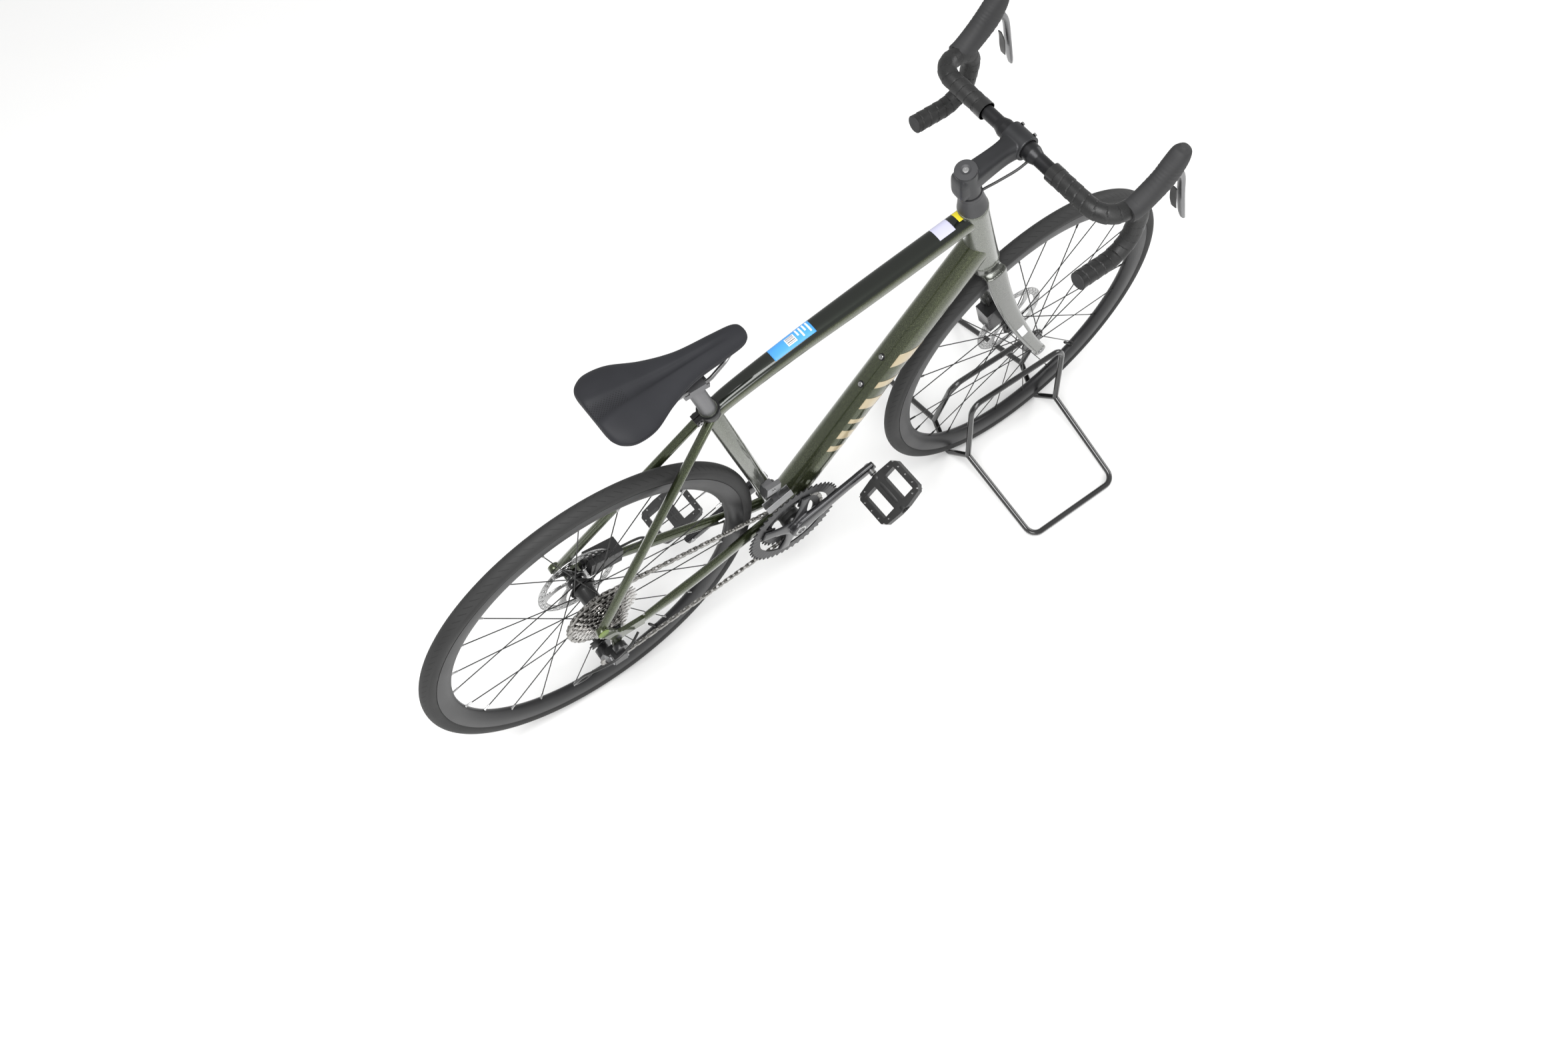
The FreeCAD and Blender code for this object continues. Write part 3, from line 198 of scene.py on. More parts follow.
# %% Grain and flake
def grain_group():
    """Fine noise for Height, and broad noise with a few worn specks for Tone and Wear."""
    tree, entry, leave = new_group("grain", [("Fine scale", 900.0), ("Broad scale", 12.0)],
                                   ["Height", "Tone", "Wear"])
    place = tree.nodes.new("ShaderNodeTexCoord").outputs["Object"]
    fine = noise_node(tree, place, entry.outputs["Fine scale"], 3.0)
    broad = noise_node(tree, place, entry.outputs["Broad scale"], 4.0)
    specks = noise_node(tree, place, 240.0, 2.0)
    worn = math_node(tree, "MULTIPLY", math_node(tree, "SUBTRACT", specks, 0.66), 9.0)
    worn = math_node(tree, "MULTIPLY", math_node(tree, "MAXIMUM", worn, 0.0), broad)
    tree.links.new(fine, leave.inputs["Height"])
    tree.links.new(broad, leave.inputs["Tone"])
    tree.links.new(math_node(tree, "MINIMUM", worn, 1.0), leave.inputs["Wear"])
    return tree


def flake_group():
    """Cells of under half a millimetre, each with its own brightness."""
    tree, entry, leave = new_group("flake", [("Scale", 2600.0)], ["Sparkle"])
    cells = tree.nodes.new("ShaderNodeTexVoronoi")
    tree.links.new(tree.nodes.new("ShaderNodeTexCoord").outputs["Object"], cells.inputs["Vector"])
    tree.links.new(entry.outputs["Scale"], cells.inputs["Scale"])
    split = tree.nodes.new("ShaderNodeSeparateColor")
    tree.links.new(cells.outputs["Color"], split.inputs["Color"])
    tree.links.new(split.outputs[0], leave.inputs["Sparkle"])
    return tree


GRAIN, FLAKE = grain_group(), flake_group()
print("groups", [tree.name for tree in bpy.data.node_groups])

# %% [markdown]
# ## Finishes
# `finish` makes one material: a Principled shader whose colour and roughness wander a little with
# the grain, and whose bump is the grain's height. Values that are the same all over, such as the
# clear coat, are set on the shader's own sockets.

# %% One finish
def add_group(tree, group, **values):
    item = tree.nodes.new("ShaderNodeGroup")
    item.node_tree = group
    for label, value in values.items():
        item.inputs[label.replace("_", " ")].default_value = value
    return item


def mix_colours(tree, share, first, second):
    """Colour from first to second as share goes from 0 to 1; each may be a socket."""
    item = tree.nodes.new("ShaderNodeMix")
    item.data_type = "RGBA"
    tree.links.new(share, item.inputs["Factor"])
    for socket, value in ((item.inputs[6], first), (item.inputs[7], second)):
        if isinstance(value, tuple):
            socket.default_value = (*value, 1.0)
        else:
            tree.links.new(value, socket)
    return item.outputs[2]


def spread(tree, share, low, high):
    """Maps 0.3..0.7, where noise mostly lies, onto low..high."""
    item = tree.nodes.new("ShaderNodeMapRange")
    tree.links.new(share, item.inputs["Value"])
    for label, value in (("From Min", 0.3), ("From Max", 0.7), ("To Min", low), ("To Max", high)):
        item.inputs[label].default_value = value
    return item.outputs[0]


def raise_bump(tree, shader, height, strength, distance):
    bump = tree.nodes.new("ShaderNodeBump")
    bump.inputs["Strength"].default_value = strength
    bump.inputs["Distance"].default_value = distance
    tree.links.new(height, bump.inputs["Height"])
    tree.links.new(bump.outputs["Normal"], shader.inputs["Normal"])
    return bump


FINISHES = {}


def finish(name, dark, light, metallic=0.0, rough=(0.35, 0.5), coat=0.0, fine=900.0, broad=12.0,
           depth=0.1, coat_rough=0.05):
    """A material from its dark and light colour; keeps its parts so that a pattern can be added."""
    material = bpy.data.materials.new(name)
    material.use_nodes = True
    tree = material.node_tree
    shader = tree.nodes["Principled BSDF"]
    for label, value in (("Metallic", metallic), ("Coat Weight", coat), ("Coat Roughness", coat_rough)):
        shader.inputs[label].default_value = value
    grain = add_group(tree, GRAIN, Fine_scale=fine, Broad_scale=broad)
    colour = mix_colours(tree, spread(tree, grain.outputs["Tone"], 0.0, 1.0), dark, light)
    tree.links.new(colour, shader.inputs["Base Color"])
    tree.links.new(spread(tree, grain.outputs["Tone"], *rough), shader.inputs["Roughness"])
    bump = raise_bump(tree, shader, grain.outputs["Height"], depth, 0.0004)
    FINISHES[name] = {"material": material, "tree": tree, "shader": shader, "grain": grain,
                      "colour": colour, "bump": bump}


print("finish helper ready")

# %% Plain finishes
finish("stand_paint", (0.010, 0.010, 0.010), (0.018, 0.018, 0.018), rough=(0.16, 0.26), coat=0.6, depth=0.05)
finish("rim_black", (0.012, 0.012, 0.013), (0.022, 0.022, 0.023), 0.3, (0.3, 0.42), depth=0.04)
finish("hub_black", (0.014, 0.014, 0.014), (0.024, 0.024, 0.024), 0.4, (0.25, 0.4), coat=0.2)
finish("spoke_black", (0.014, 0.014, 0.014), (0.03, 0.03, 0.03), 0.5, (0.3, 0.45))
finish("axle_steel", (0.16, 0.16, 0.165), (0.26, 0.26, 0.265), 1.0, (0.25, 0.4))
finish("headset_black", (0.035, 0.035, 0.037), (0.05, 0.05, 0.053), 0.25, (0.42, 0.55), depth=0.06)
finish("stem_alloy", (0.018, 0.0185, 0.020), (0.03, 0.0305, 0.033), 0.4, (0.34, 0.46), depth=0.08)
finish("bar_alloy", (0.012, 0.012, 0.013), (0.022, 0.022, 0.024), 0.5, (0.28, 0.4))
finish("hood_rubber", (0.016, 0.016, 0.017), (0.026, 0.026, 0.027), rough=(0.62, 0.74), fine=1500, depth=0.22)
finish("lever_alloy", (0.17, 0.17, 0.175), (0.25, 0.25, 0.255), 0.8, (0.26, 0.38))
finish("paddle_black", (0.016, 0.016, 0.016), (0.028, 0.028, 0.028), rough=(0.4, 0.55))
finish("caliper_black", (0.010, 0.010, 0.011), (0.02, 0.02, 0.02), 0.2, (0.28, 0.42), coat=0.3, depth=0.1)
finish("bracket_alloy", (0.02, 0.02, 0.02), (0.035, 0.035, 0.035), 0.4, (0.35, 0.5))
finish("collar_black", (0.012, 0.012, 0.012), (0.022, 0.022, 0.022), 0.3, (0.3, 0.42))
finish("post_alloy", (0.15, 0.15, 0.155), (0.2, 0.2, 0.205), 0.55, (0.4, 0.5), fine=1600, depth=0.08)
finish("clamp_alloy", (0.11, 0.11, 0.115), (0.16, 0.16, 0.165), 0.6, (0.35, 0.45))
finish("rail_steel", (0.2, 0.2, 0.2), (0.32, 0.32, 0.32), 1.0, (0.25, 0.35))
finish("crank_alloy", (0.014, 0.014, 0.015), (0.026, 0.026, 0.029), 0.5, (0.22, 0.32), coat=0.35, depth=0.04)
finish("ring_alloy", (0.03, 0.03, 0.031), (0.06, 0.06, 0.062), 0.7, (0.3, 0.45))
finish("pedal_black", (0.011, 0.011, 0.011), (0.022, 0.022, 0.022), 0.1, (0.34, 0.5), depth=0.18)
finish("derailleur_alloy", (0.14, 0.14, 0.145), (0.24, 0.24, 0.245), 0.8, (0.24, 0.36), coat=0.2)
finish("derailleur_black", (0.013, 0.013, 0.014), (0.03, 0.03, 0.031), 0.4, (0.24, 0.4), coat=0.2)
finish("pulley_black", (0.012, 0.012, 0.012), (0.022, 0.022, 0.022), rough=(0.45, 0.6))
finish("cable_black", (0.012, 0.012, 0.012), (0.02, 0.02, 0.02), rough=(0.32, 0.42), depth=0.05)
finish("bolt_steel", (0.3, 0.3, 0.3), (0.5, 0.5, 0.5), 1.0, (0.2, 0.32))
finish("bolt_black", (0.012, 0.012, 0.012), (0.03, 0.03, 0.03), 0.6, (0.25, 0.4))
finish("cassette_steel", (0.36, 0.35, 0.34), (0.58, 0.57, 0.55), 1.0, (0.2, 0.34), fine=2200, depth=0.05)
finish("chain_steel", (0.2, 0.195, 0.185), (0.42, 0.41, 0.39), 1.0, (0.24, 0.42), broad=60)
finish("tape_gloss", (0.009, 0.009, 0.009), (0.014, 0.014, 0.014), rough=(0.2, 0.3), coat=0.3)
finish("cap_green", (0.10, 0.16, 0.03), (0.16, 0.22, 0.05), 0.3, (0.3, 0.4))
finish("letter_tan", (0.40, 0.33, 0.20), (0.46, 0.38, 0.24), 0.2, (0.3, 0.4), coat=1.0, depth=0.02)
finish("label_blue", (0.05, 0.28, 0.66), (0.07, 0.33, 0.74), rough=(0.32, 0.42), depth=0.03)
finish("label_white", (0.78, 0.79, 0.82), (0.86, 0.86, 0.88), rough=(0.35, 0.45), depth=0.03)
finish("label_lilac", (0.46, 0.46, 0.60), (0.54, 0.54, 0.68), rough=(0.3, 0.4), depth=0.03)
finish("label_yellow", (0.62, 0.52, 0.02), (0.72, 0.60, 0.03), rough=(0.3, 0.4), depth=0.03)
finish("label_ink", (0.05, 0.05, 0.06), (0.09, 0.09, 0.10), rough=(0.4, 0.5), depth=0.03)
finish("floor_white", (0.86, 0.86, 0.855), (0.90, 0.90, 0.895), rough=(0.42, 0.5), fine=60, broad=0.8,
       depth=0.02)
floor.data.materials.append(FINISHES["floor_white"]["material"])
print("finishes", len(FINISHES))

# %% [markdown]
# ## Paints, steel and rubber that need a pattern
# The frame is a metallic paint: flake cells brighten the base colour under a clear coat. The
# rotor and the cogs are ground steel, the tyre has fine slanted grooves, the bar tape has small
# pressed dimples and the saddle has a field of dots. Where the pattern follows a surface it reads
# that piece's UV map, which holds real distances in metres.

# %% Metallic paints
def metallic_paint(name, dark, light, glint):
    """Paint whose brightest few flakes take the glint colour, under a clear coat."""
    finish(name, dark, light, 0.75, (0.24, 0.34), coat=1.0, depth=0.015, broad=3.0, coat_rough=0.03)
    kept = FINISHES[name]
    tree = kept["tree"]
    flake = add_group(tree, FLAKE, Scale=2400.0)
    bright = math_node(tree, "POWER", flake.outputs["Sparkle"], 6.0)
    colour = mix_colours(tree, bright, kept["colour"], glint)
    tree.links.new(colour, kept["shader"].inputs["Base Color"])
    kept["colour"] = colour


metallic_paint("frame_paint", (0.021, 0.028, 0.011), (0.031, 0.039, 0.016), (0.17, 0.21, 0.09))
metallic_paint("fork_paint", (0.058, 0.061, 0.054), (0.071, 0.074, 0.065), (0.24, 0.25, 0.22))
metallic_paint("sage_paint", (0.082, 0.088, 0.072), (0.10, 0.106, 0.088), (0.29, 0.31, 0.26))
print("paints", [name for name in FINISHES if name.endswith("paint")])


# %% Patterns on a piece's own UV map
def uv_pair(tree, along_scale, across_scale):
    """The UV map's two distances, each multiplied by a scale."""
    split = tree.nodes.new("ShaderNodeSeparateXYZ")
    tree.links.new(tree.nodes.new("ShaderNodeTexCoord").outputs["UV"], split.inputs["Vector"])
    return (math_node(tree, "MULTIPLY", split.outputs[0], along_scale),
            math_node(tree, "MULTIPLY", split.outputs[1], across_scale))


def stripes(tree, value, width):
    """1 inside a stripe that is 'width' of each whole step of value wide, else 0."""
    share = math_node(tree, "FRACT", value)
    return math_node(tree, "LESS_THAN", share, width)


def dot_rows(tree, scale, size):
    """1 inside dots on a slanted grid: the squared distance from each cell's middle is under size."""
    along, across = uv_pair(tree, scale, scale)
    squares = []
    for way in ("ADD", "SUBTRACT"):
        share = math_node(tree, "FRACT", math_node(tree, way, along, across))
        offset = math_node(tree, "SUBTRACT", share, 0.5)
        squares.append(math_node(tree, "MULTIPLY", offset, offset))
    return math_node(tree, "LESS_THAN", math_node(tree, "ADD", *squares), size)


print("pattern helpers ready")


# %% Tyre tread and bar tape
def tyre_finish():
    """Tread: slanted grooves on both shoulders that lean apart, and none on the centre band."""
    finish("tyre", (0.012, 0.012, 0.012), (0.024, 0.024, 0.024), rough=(0.62, 0.8), fine=1300, broad=6,
           depth=0.3)
    kept = FINISHES["tyre"]
    tree = kept["tree"]
    along, across = uv_pair(tree, 1.0, 1.0)
    away = math_node(tree, "ABSOLUTE", across)
    slanted = math_node(tree, "ADD", math_node(tree, "MULTIPLY", along, 62.0),
                        math_node(tree, "MULTIPLY", away, 95.0))
    groove = stripes(tree, slanted, 0.16)
    on_shoulder = math_node(tree, "MULTIPLY", math_node(tree, "GREATER_THAN", away, 0.0035),
                            math_node(tree, "LESS_THAN", away, 0.0125))
    groove = math_node(tree, "MULTIPLY", groove, on_shoulder)
    tread = math_node(tree, "LESS_THAN", away, 0.0165)
    height = math_node(tree, "SUBTRACT", kept["grain"].outputs["Height"],
                       math_node(tree, "MULTIPLY", groove, 3.0))
    tree.links.new(height, kept["bump"].inputs["Height"])
    worn = mix_colours(tree, tread, (0.014, 0.014, 0.014), kept["colour"])
    # The grooves are painted darker than the rubber round them: painted shade in the recesses.
    tree.links.new(mix_colours(tree, groove, worn, (0.008, 0.008, 0.008)),
                   kept["shader"].inputs["Base Color"])


def tape_finish():
    """Bar tape: rows of pressed dimples, shiny where hands have polished it."""
    finish("bar_tape", (0.007, 0.007, 0.007), (0.015, 0.015, 0.015), rough=(0.4, 0.6), fine=700, broad=40,
           depth=0.5)
    kept = FINISHES["bar_tape"]
    tree = kept["tree"]
    dimple = dot_rows(tree, 240.0, 0.07)
    height = math_node(tree, "SUBTRACT", kept["grain"].outputs["Height"], dimple)
    tree.links.new(height, kept["bump"].inputs["Height"])


tyre_finish()
tape_finish()
print("tyre and tape finished")


# %% Saddle cover and rotor steel
def saddle_finish():
    """Saddle cover: fine leather-like grain with dark dots in the channel's middle field."""
    finish("saddle_cover", (0.014, 0.0145, 0.017), (0.022, 0.0225, 0.026), rough=(0.52, 0.62), fine=1400,
           broad=9, depth=0.22)
    kept = FINISHES["saddle_cover"]
    kept["shader"].inputs["Specular IOR Level"].default_value = 0.2
    tree = kept["tree"]
    field = tree.nodes.new("ShaderNodeAttribute")
    field.attribute_name = "dots"
    dot = math_node(tree, "MULTIPLY", dot_rows(tree, 200.0, 0.055), field.outputs["Fac"])
    tree.links.new(mix_colours(tree, dot, kept["colour"], (0.008, 0.008, 0.009)),
                   kept["shader"].inputs["Base Color"])
    height = math_node(tree, "SUBTRACT", kept["grain"].outputs["Height"],
                       math_node(tree, "MULTIPLY", dot, 3.0))
    tree.links.new(height, kept["bump"].inputs["Height"])


def rotor_finish():
    """Rotor steel: fine rings left by the pads, from the distance to the axle in the UV map."""
    finish("rotor_steel", (0.42, 0.42, 0.42), (0.60, 0.60, 0.60), 1.0, (0.2, 0.3), fine=1800, depth=0.04)
    kept = FINISHES["rotor_steel"]
    tree = kept["tree"]
    _, across = uv_pair(tree, 1.0, 3000.0)
    rings = noise_node(tree, tree.nodes.new("ShaderNodeTexCoord").outputs["UV"], 30.0, 2.0)
    wave = math_node(tree, "SINE", across)
    height = math_node(tree, "ADD", math_node(tree, "MULTIPLY", wave, 0.3), rings)
    tree.links.new(height, kept["bump"].inputs["Height"])


saddle_finish()
rotor_finish()
print("finishes in all", len(FINISHES))

# %% [markdown]
# ## Surfaces as arrays
# A grid surface has rows and columns of points. `grid_quads` numbers its faces. A tube or a turned
# piece wraps its columns, and `capped` adds a row drawn together to one point at each end, so the
# shell is closed once doubled points are merged. `make` turns shells into one finished object.

# %% Grids and shells
def grid_quads(rows, columns, wrap_rows=False):
    """Faces of a grid whose columns wrap round; rows wrap too if asked."""
    i, j = np.meshgrid(np.arange(rows if wrap_rows else rows - 1), np.arange(columns), indexing="ij")
    below, beside = (i + 1) % rows, (j + 1) % columns
    corners = [i * columns + j, i * columns + beside, below * columns + beside, below * columns + j]
    return np.stack(corners, axis=-1).reshape(-1, 4)


def shell(grid, wrap_rows=False, uv=None):
    """(points, faces, uv) of a grid of shape rows x columns x 3."""
    rows, columns, _ = grid.shape
    flat_uv = None if uv is None else uv.reshape(-1, 2)
    return grid.reshape(-1, 3), grid_quads(rows, columns, wrap_rows), flat_uv


def capped(grid):
    """The grid with a row at each end drawn together to that end's middle."""
    first, last = grid[:1].mean(axis=1, keepdims=True), grid[-1:].mean(axis=1, keepdims=True)
    ends = [np.repeat(first, grid.shape[1], axis=1), grid, np.repeat(last, grid.shape[1], axis=1)]
    return np.concatenate(ends, axis=0)


def joined(shells):
    """Several shells as one: the face numbers of each are moved past the points before it."""
    starts = np.cumsum([0] + [len(points) for points, _, _ in shells[:-1]])
    points = np.concatenate([item[0] for item in shells])
    faces = np.concatenate([item[1] + start for item, start in zip(shells, starts)])
    has_uv = all(item[2] is not None for item in shells)
    return points, faces, np.concatenate([item[2] for item in shells]) if has_uv else None


def repeated(source, places):
    """The shell once at each place, a (count, 3, 4) array of turn and position, in one product."""
    points, faces, _ = source
    moved = np.einsum("nij,pj->npi", places[:, :, :3], points) + places[:, None, :, 3]
    steps = np.arange(len(places))[:, None, None] * len(points)
    return moved.reshape(-1, 3), (faces[None] + steps).reshape(-1, 4), None


print("grid helpers ready")

# %% One finished object
SHARP = math.radians(34)


def set_uv(mesh, uv):
    """Writes per-point UV to the corners, and mends the faces that straddle the wrap."""
    corner_points = np.empty(len(mesh.loops), dtype=np.int32)
    mesh.loops.foreach_get("vertex_index", corner_points)
    values = uv[corner_points].reshape(-1, 4, 2)
    reach = uv.max(axis=0) - uv.min(axis=0)
    torn = (values.max(axis=1, keepdims=True) - values) > 0.6 * reach
    values = values + torn * (reach * (1 + 1 / 300))
    mesh.uv_layers.new(name="UVMap").data.foreach_set("uv", values.reshape(-1))


def make(name, source, body, finish_name, replaces=(), merge=True, masks=None):
    """One finished object: mesh, outward normals, smooth shading, material, body and slot."""
    points, faces, uv = source
    mesh = bpy.data.meshes.new(name)
    mesh.from_pydata(points, [], faces.tolist())
    if uv is not None:
        set_uv(mesh, uv)
    for label, values in (masks or {}).items():
        mesh.attributes.new(label, "FLOAT", "POINT").data.foreach_set("value", values)
    if merge:
        tidy_shell(mesh)
    mesh.polygons.foreach_set("use_smooth", np.ones(len(mesh.polygons), dtype=bool))
    mesh.set_sharp_from_angle(angle=SHARP)
    mesh.materials.append(FINISHES[finish_name]["material"])
    item = bpy.data.objects.new(name, mesh)
    bpy.context.scene.collection.objects.link(item)
    if body:
        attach(item, body)
    if replaces:
        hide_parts(*replaces)
    print(name, len(mesh.polygons), "faces")
    return item


def tidy_shell(mesh):
    """Merges doubled points, drops faces with no area and stray points, and turns faces outwards."""
    work = bmesh.new()
    work.from_mesh(mesh)
    bmesh.ops.remove_doubles(work, verts=work.verts, dist=1e-6)
    bmesh.ops.dissolve_degenerate(work, edges=work.edges, dist=1e-7)
    loose = [point for point in work.verts if not point.link_faces]
    bmesh.ops.delete(work, geom=loose, context="VERTS")
    bmesh.ops.recalc_face_normals(work, faces=work.faces)
    work.to_mesh(mesh)
    work.free()


def cast(item, voxel, rounds):
    """Melts overlapping shells into one casting: a voxel skin, then smoothing fills its corners."""
    skin = item.modifiers.new("skin", "REMESH")
    skin.mode = "VOXEL"
    skin.voxel_size = voxel * MM
    skin.use_smooth_shade = True
    soften = item.modifiers.new("soften", "SMOOTH")
    soften.factor = 0.5
    soften.iterations = rounds


print("object helpers ready")


# %% Curves through points, and rings carried along them
def through(keys, shares):
    """Rows of keys at even steps, joined by a Catmull-Rom curve and read at shares of 0..1."""
    keys = np.asarray(keys, dtype=float).reshape(len(keys), -1)
    place = np.clip(np.asarray(shares), 0, 1) * (len(keys) - 1)
    first = np.minimum(place.astype(int), len(keys) - 2)
    t = (place - first)[:, None]
    a, b = keys[np.maximum(first - 1, 0)], keys[first]
    c, d = keys[first + 1], keys[np.minimum(first + 2, len(keys) - 1)]
    return 0.5 * (2 * b + (c - a) * t + (2 * a - 5 * b + 4 * c - d) * t ** 2
                  + (3 * b - a - 3 * c + d) * t ** 3)


def unit(vectors):
    return vectors / np.linalg.norm(vectors, axis=-1, keepdims=True)


def squircle(angles, power):
    """Cosine and sine pulled towards a rounded square: power 2 is a circle, 4 nearly a box."""
    cosine, sine = np.cos(angles), np.sin(angles)
    return (np.sign(cosine) * np.abs(cosine) ** (2 / power), np.sign(sine) * np.abs(sine) ** (2 / power))


def loft(centres, half_side, half_up, power=2.0, columns=32):
    """Ovals carried along a line: point = centre + side.half_side.cos a + up.half_up.sin a.

    'side' stays near the Y axis all along, and 'up' is square to it and to the line.
    """
    tangent = unit(np.gradient(centres, axis=0))
    up = unit(np.cross(tangent, Y_AXIS))
    across = unit(np.cross(up, tangent))
    angles = np.linspace(0, 2 * np.pi, columns, endpoint=False)
    wide, high = squircle(angles, power)
    half_side = np.broadcast_to(half_side, len(centres))
    half_up = np.broadcast_to(half_up, len(centres))
    return (centres[:, None] + across[:, None] * (half_side[:, None] * wide)[..., None]
            + up[:, None] * (half_up[:, None] * high)[..., None])


print("curve helpers ready")


# %% Tubes, lathe shapes and rounded blocks
def tube(route, radius, columns, count):
    """A round closed tube along a curve through the route's points, given in millimetres."""
    line = through(np.array(route) * MM, np.linspace(0, 1, count))
    return shell(capped(loft(line, radius * MM, radius * MM, columns=columns)))


def basis(axis):
    """Three unit vectors, the last along the axis."""
    axis = np.asarray(axis) / np.linalg.norm(axis)
    helper = X_AXIS if abs(axis[0]) < 0.9 else Z_AXIS
    side = unit(np.cross(helper, axis))
    return side, np.cross(axis, side), axis


def turned(profile, centre, axis=Y_AXIS, columns=32, closed=False):
    """A lathe shape: each (radius, height) of the profile, in millimetres, is carried round."""
    side, up, along = basis(axis)
    radius, height = np.array(profile, dtype=float).T * MM
    angles = np.linspace(0, 2 * np.pi, columns, endpoint=False)
    ring = side * np.cos(angles)[:, None] + up * np.sin(angles)[:, None]
    grid = centre + radius[:, None, None] * ring[None] + height[:, None, None] * along
    return shell(grid if closed else capped(grid), wrap_rows=closed)


def pebble(centre, halves, turn=np.eye(3), power=5.0, rows=14, columns=24):
    """A rounded block: a ball whose two angles both pass through the squircle rule."""
    tilt = np.linspace(-np.pi / 2, np.pi / 2, rows)[:, None]
    round_angle = np.linspace(0, 2 * np.pi, columns, endpoint=False)[None]
    level, height = squircle(tilt, power)
    wide, deep = squircle(round_angle, power)
    local = np.stack([level * wide, level * deep, height * np.ones_like(wide)], axis=-1)
    return shell(np.asarray(centre) + (local * np.asarray(halves) * MM) @ np.asarray(turn).T)


def turn_y(degrees):
    """Turn about the Y axis, as a 3 x 3 array whose columns are the turned axes."""
    return np.array(Matrix.Rotation(math.radians(degrees), 3, "Y"))


def placed(turns, centres):
    """Turns (n, 3, 3) and centres (n, 3) as the (n, 3, 4) array that `repeated` takes."""
    return np.concatenate([turns, centres[:, :, None]], axis=2)


print("shape helpers ready")

# %% [markdown]
# ## Screws
# A socket screw is a turned head with a six-sided hole in it. The hole's rim uses the hexagon
# rule r = flat / cos(angle within one sixth), so one grid gives both the head and the socket.

# %% Socket screws
def socket_screw(centre, axis, radius, height, socket=0.5, columns=36):
    """Head of a screw that stands on centre; the socket is a share of its radius."""
    side, up, along = basis(axis)
    angles = np.linspace(0, 2 * np.pi, columns, endpoint=False)
    hexagon = 1 / np.cos((angles % (np.pi / 3)) - np.pi / 6) * math.cos(math.pi / 6)
    plain = np.ones(columns)
    rows = [(socket * radius * hexagon, 0.35 * height), (socket * radius * hexagon, height),
            (0.84 * radius * plain, height), (radius * plain, 0.82 * height), (radius * plain, -0.3 * height)]
    ring = side * np.cos(angles)[:, None] + up * np.sin(angles)[:, None]
    grid = np.stack([centre + (reach * MM)[:, None] * ring + level * MM * along for reach, level in rows])
    return shell(capped(grid))


def screws(name, places, radius, height, body, finish_name="bolt_black"):
    """One object with a screw at each (centre, axis)."""
    return make(name, joined([socket_screw(centre, axis, radius, height) for centre, axis in places]),
                body, finish_name)


print("screw helper ready")

# %% [markdown]
# ## Wheels
# A tyre is a ring of ovals: the wheel angle carries a section round the axle. Its crown is a
# little flat and a fine rib runs low on each wall. The UV map holds the distance round the
# tyre and the distance from its middle line, so the tread's grooves are spaced in real metres.

# %% Tyres
TYRE_MIDDLE, TYRE_HALF = 326.0, 14.9
WHEELS = {"front": (FRONT_AXLE, "front_wheel"), "rear": (REAR_AXLE, "rear_wheel")}


def wheel_ring(axle, radii, offsets, columns):
    """Grid of rings: row k is a circle of radius radii[k] at offsets[k] along the axle, in mm."""
    angles = np.linspace(0, 2 * np.pi, columns, endpoint=False)
    ring = np.stack([np.cos(angles), np.zeros(columns), np.sin(angles)], axis=1)
    return axle + (radii * MM)[:, None, None] * ring + (offsets * MM)[:, None, None] * Y_AXIS


def tyre_shell(axle, columns=300, rows=44):
    """Section: radius from the middle line is even, less a flat on the crown, plus wall ribs."""
    section = np.linspace(0, 2 * np.pi, rows, endpoint=False)
    reach = TYRE_HALF - 0.35 * np.exp(-(np.sin(section / 2) / 0.16) ** 2)
    ribs = np.exp(-((np.abs(np.sin(section / 2)) - 0.83) / 0.012) ** 2)
    reach = reach + 0.4 * ribs
    grid = wheel_ring(axle, TYRE_MIDDLE + reach * np.cos(section), reach * np.sin(section), columns)
    across = TYRE_HALF * MM * ((section + np.pi) % (2 * np.pi) - np.pi)
    along = np.linspace(0, 2 * np.pi, columns, endpoint=False) * TYRE_MIDDLE * MM
    uv = np.stack(np.broadcast_arrays(along[None, :], across[:, None]), axis=-1)
    return shell(grid, wrap_rows=True, uv=uv)


for end, (axle_place, body) in WHEELS.items():
    make(f"{end}_tyre_skin", tyre_shell(axle_place), body, "tyre", [f"{end}_tyre"], merge=False)

# %% [markdown]
# The rim is an alloy extrusion: two bead hooks, nearly flat walls and a rounded spoke bed. Each
# spoke ends in a nipple that pokes out of the bed towards the hub, and one valve stands among them.

# %% Rims
RIM_SECTION = [(316.6, -11.2), (316.2, -12.3), (311.0, -12.4), (302.0, -11.9), (295.0, -10.4), (288.5, -7.6),
               (285.0, -4.6), (283.8, -1.8), (283.8, 1.8), (285.0, 4.6), (288.5, 7.6), (295.0, 10.4),
               (302.0, 11.9), (311.0, 12.4), (316.2, 12.3), (316.6, 11.2), (312.0, 9.5), (312.0, -9.5)]
for end, (axle_place, body) in WHEELS.items():
    radii, offsets = np.array(RIM_SECTION).T
    rim_grid = wheel_ring(axle_place, radii, offsets, 240)
    make(f"{end}_rim_skin", shell(rim_grid, wrap_rows=True), body, "rim_black", [f"{end}_rim"])

# %% Nipples and valves
SPOKE_COUNT, SPOKE_CROSSING, SPOKE_CIRCLE, RIM_BED = 24, 68.0, 21.0, 284.0
FLANGES = {"front": (21.0, -34.0), "rear": (36.0, -15.0)}
VALVE_ANGLE = {"front": -46.5, "rear": -65.4}


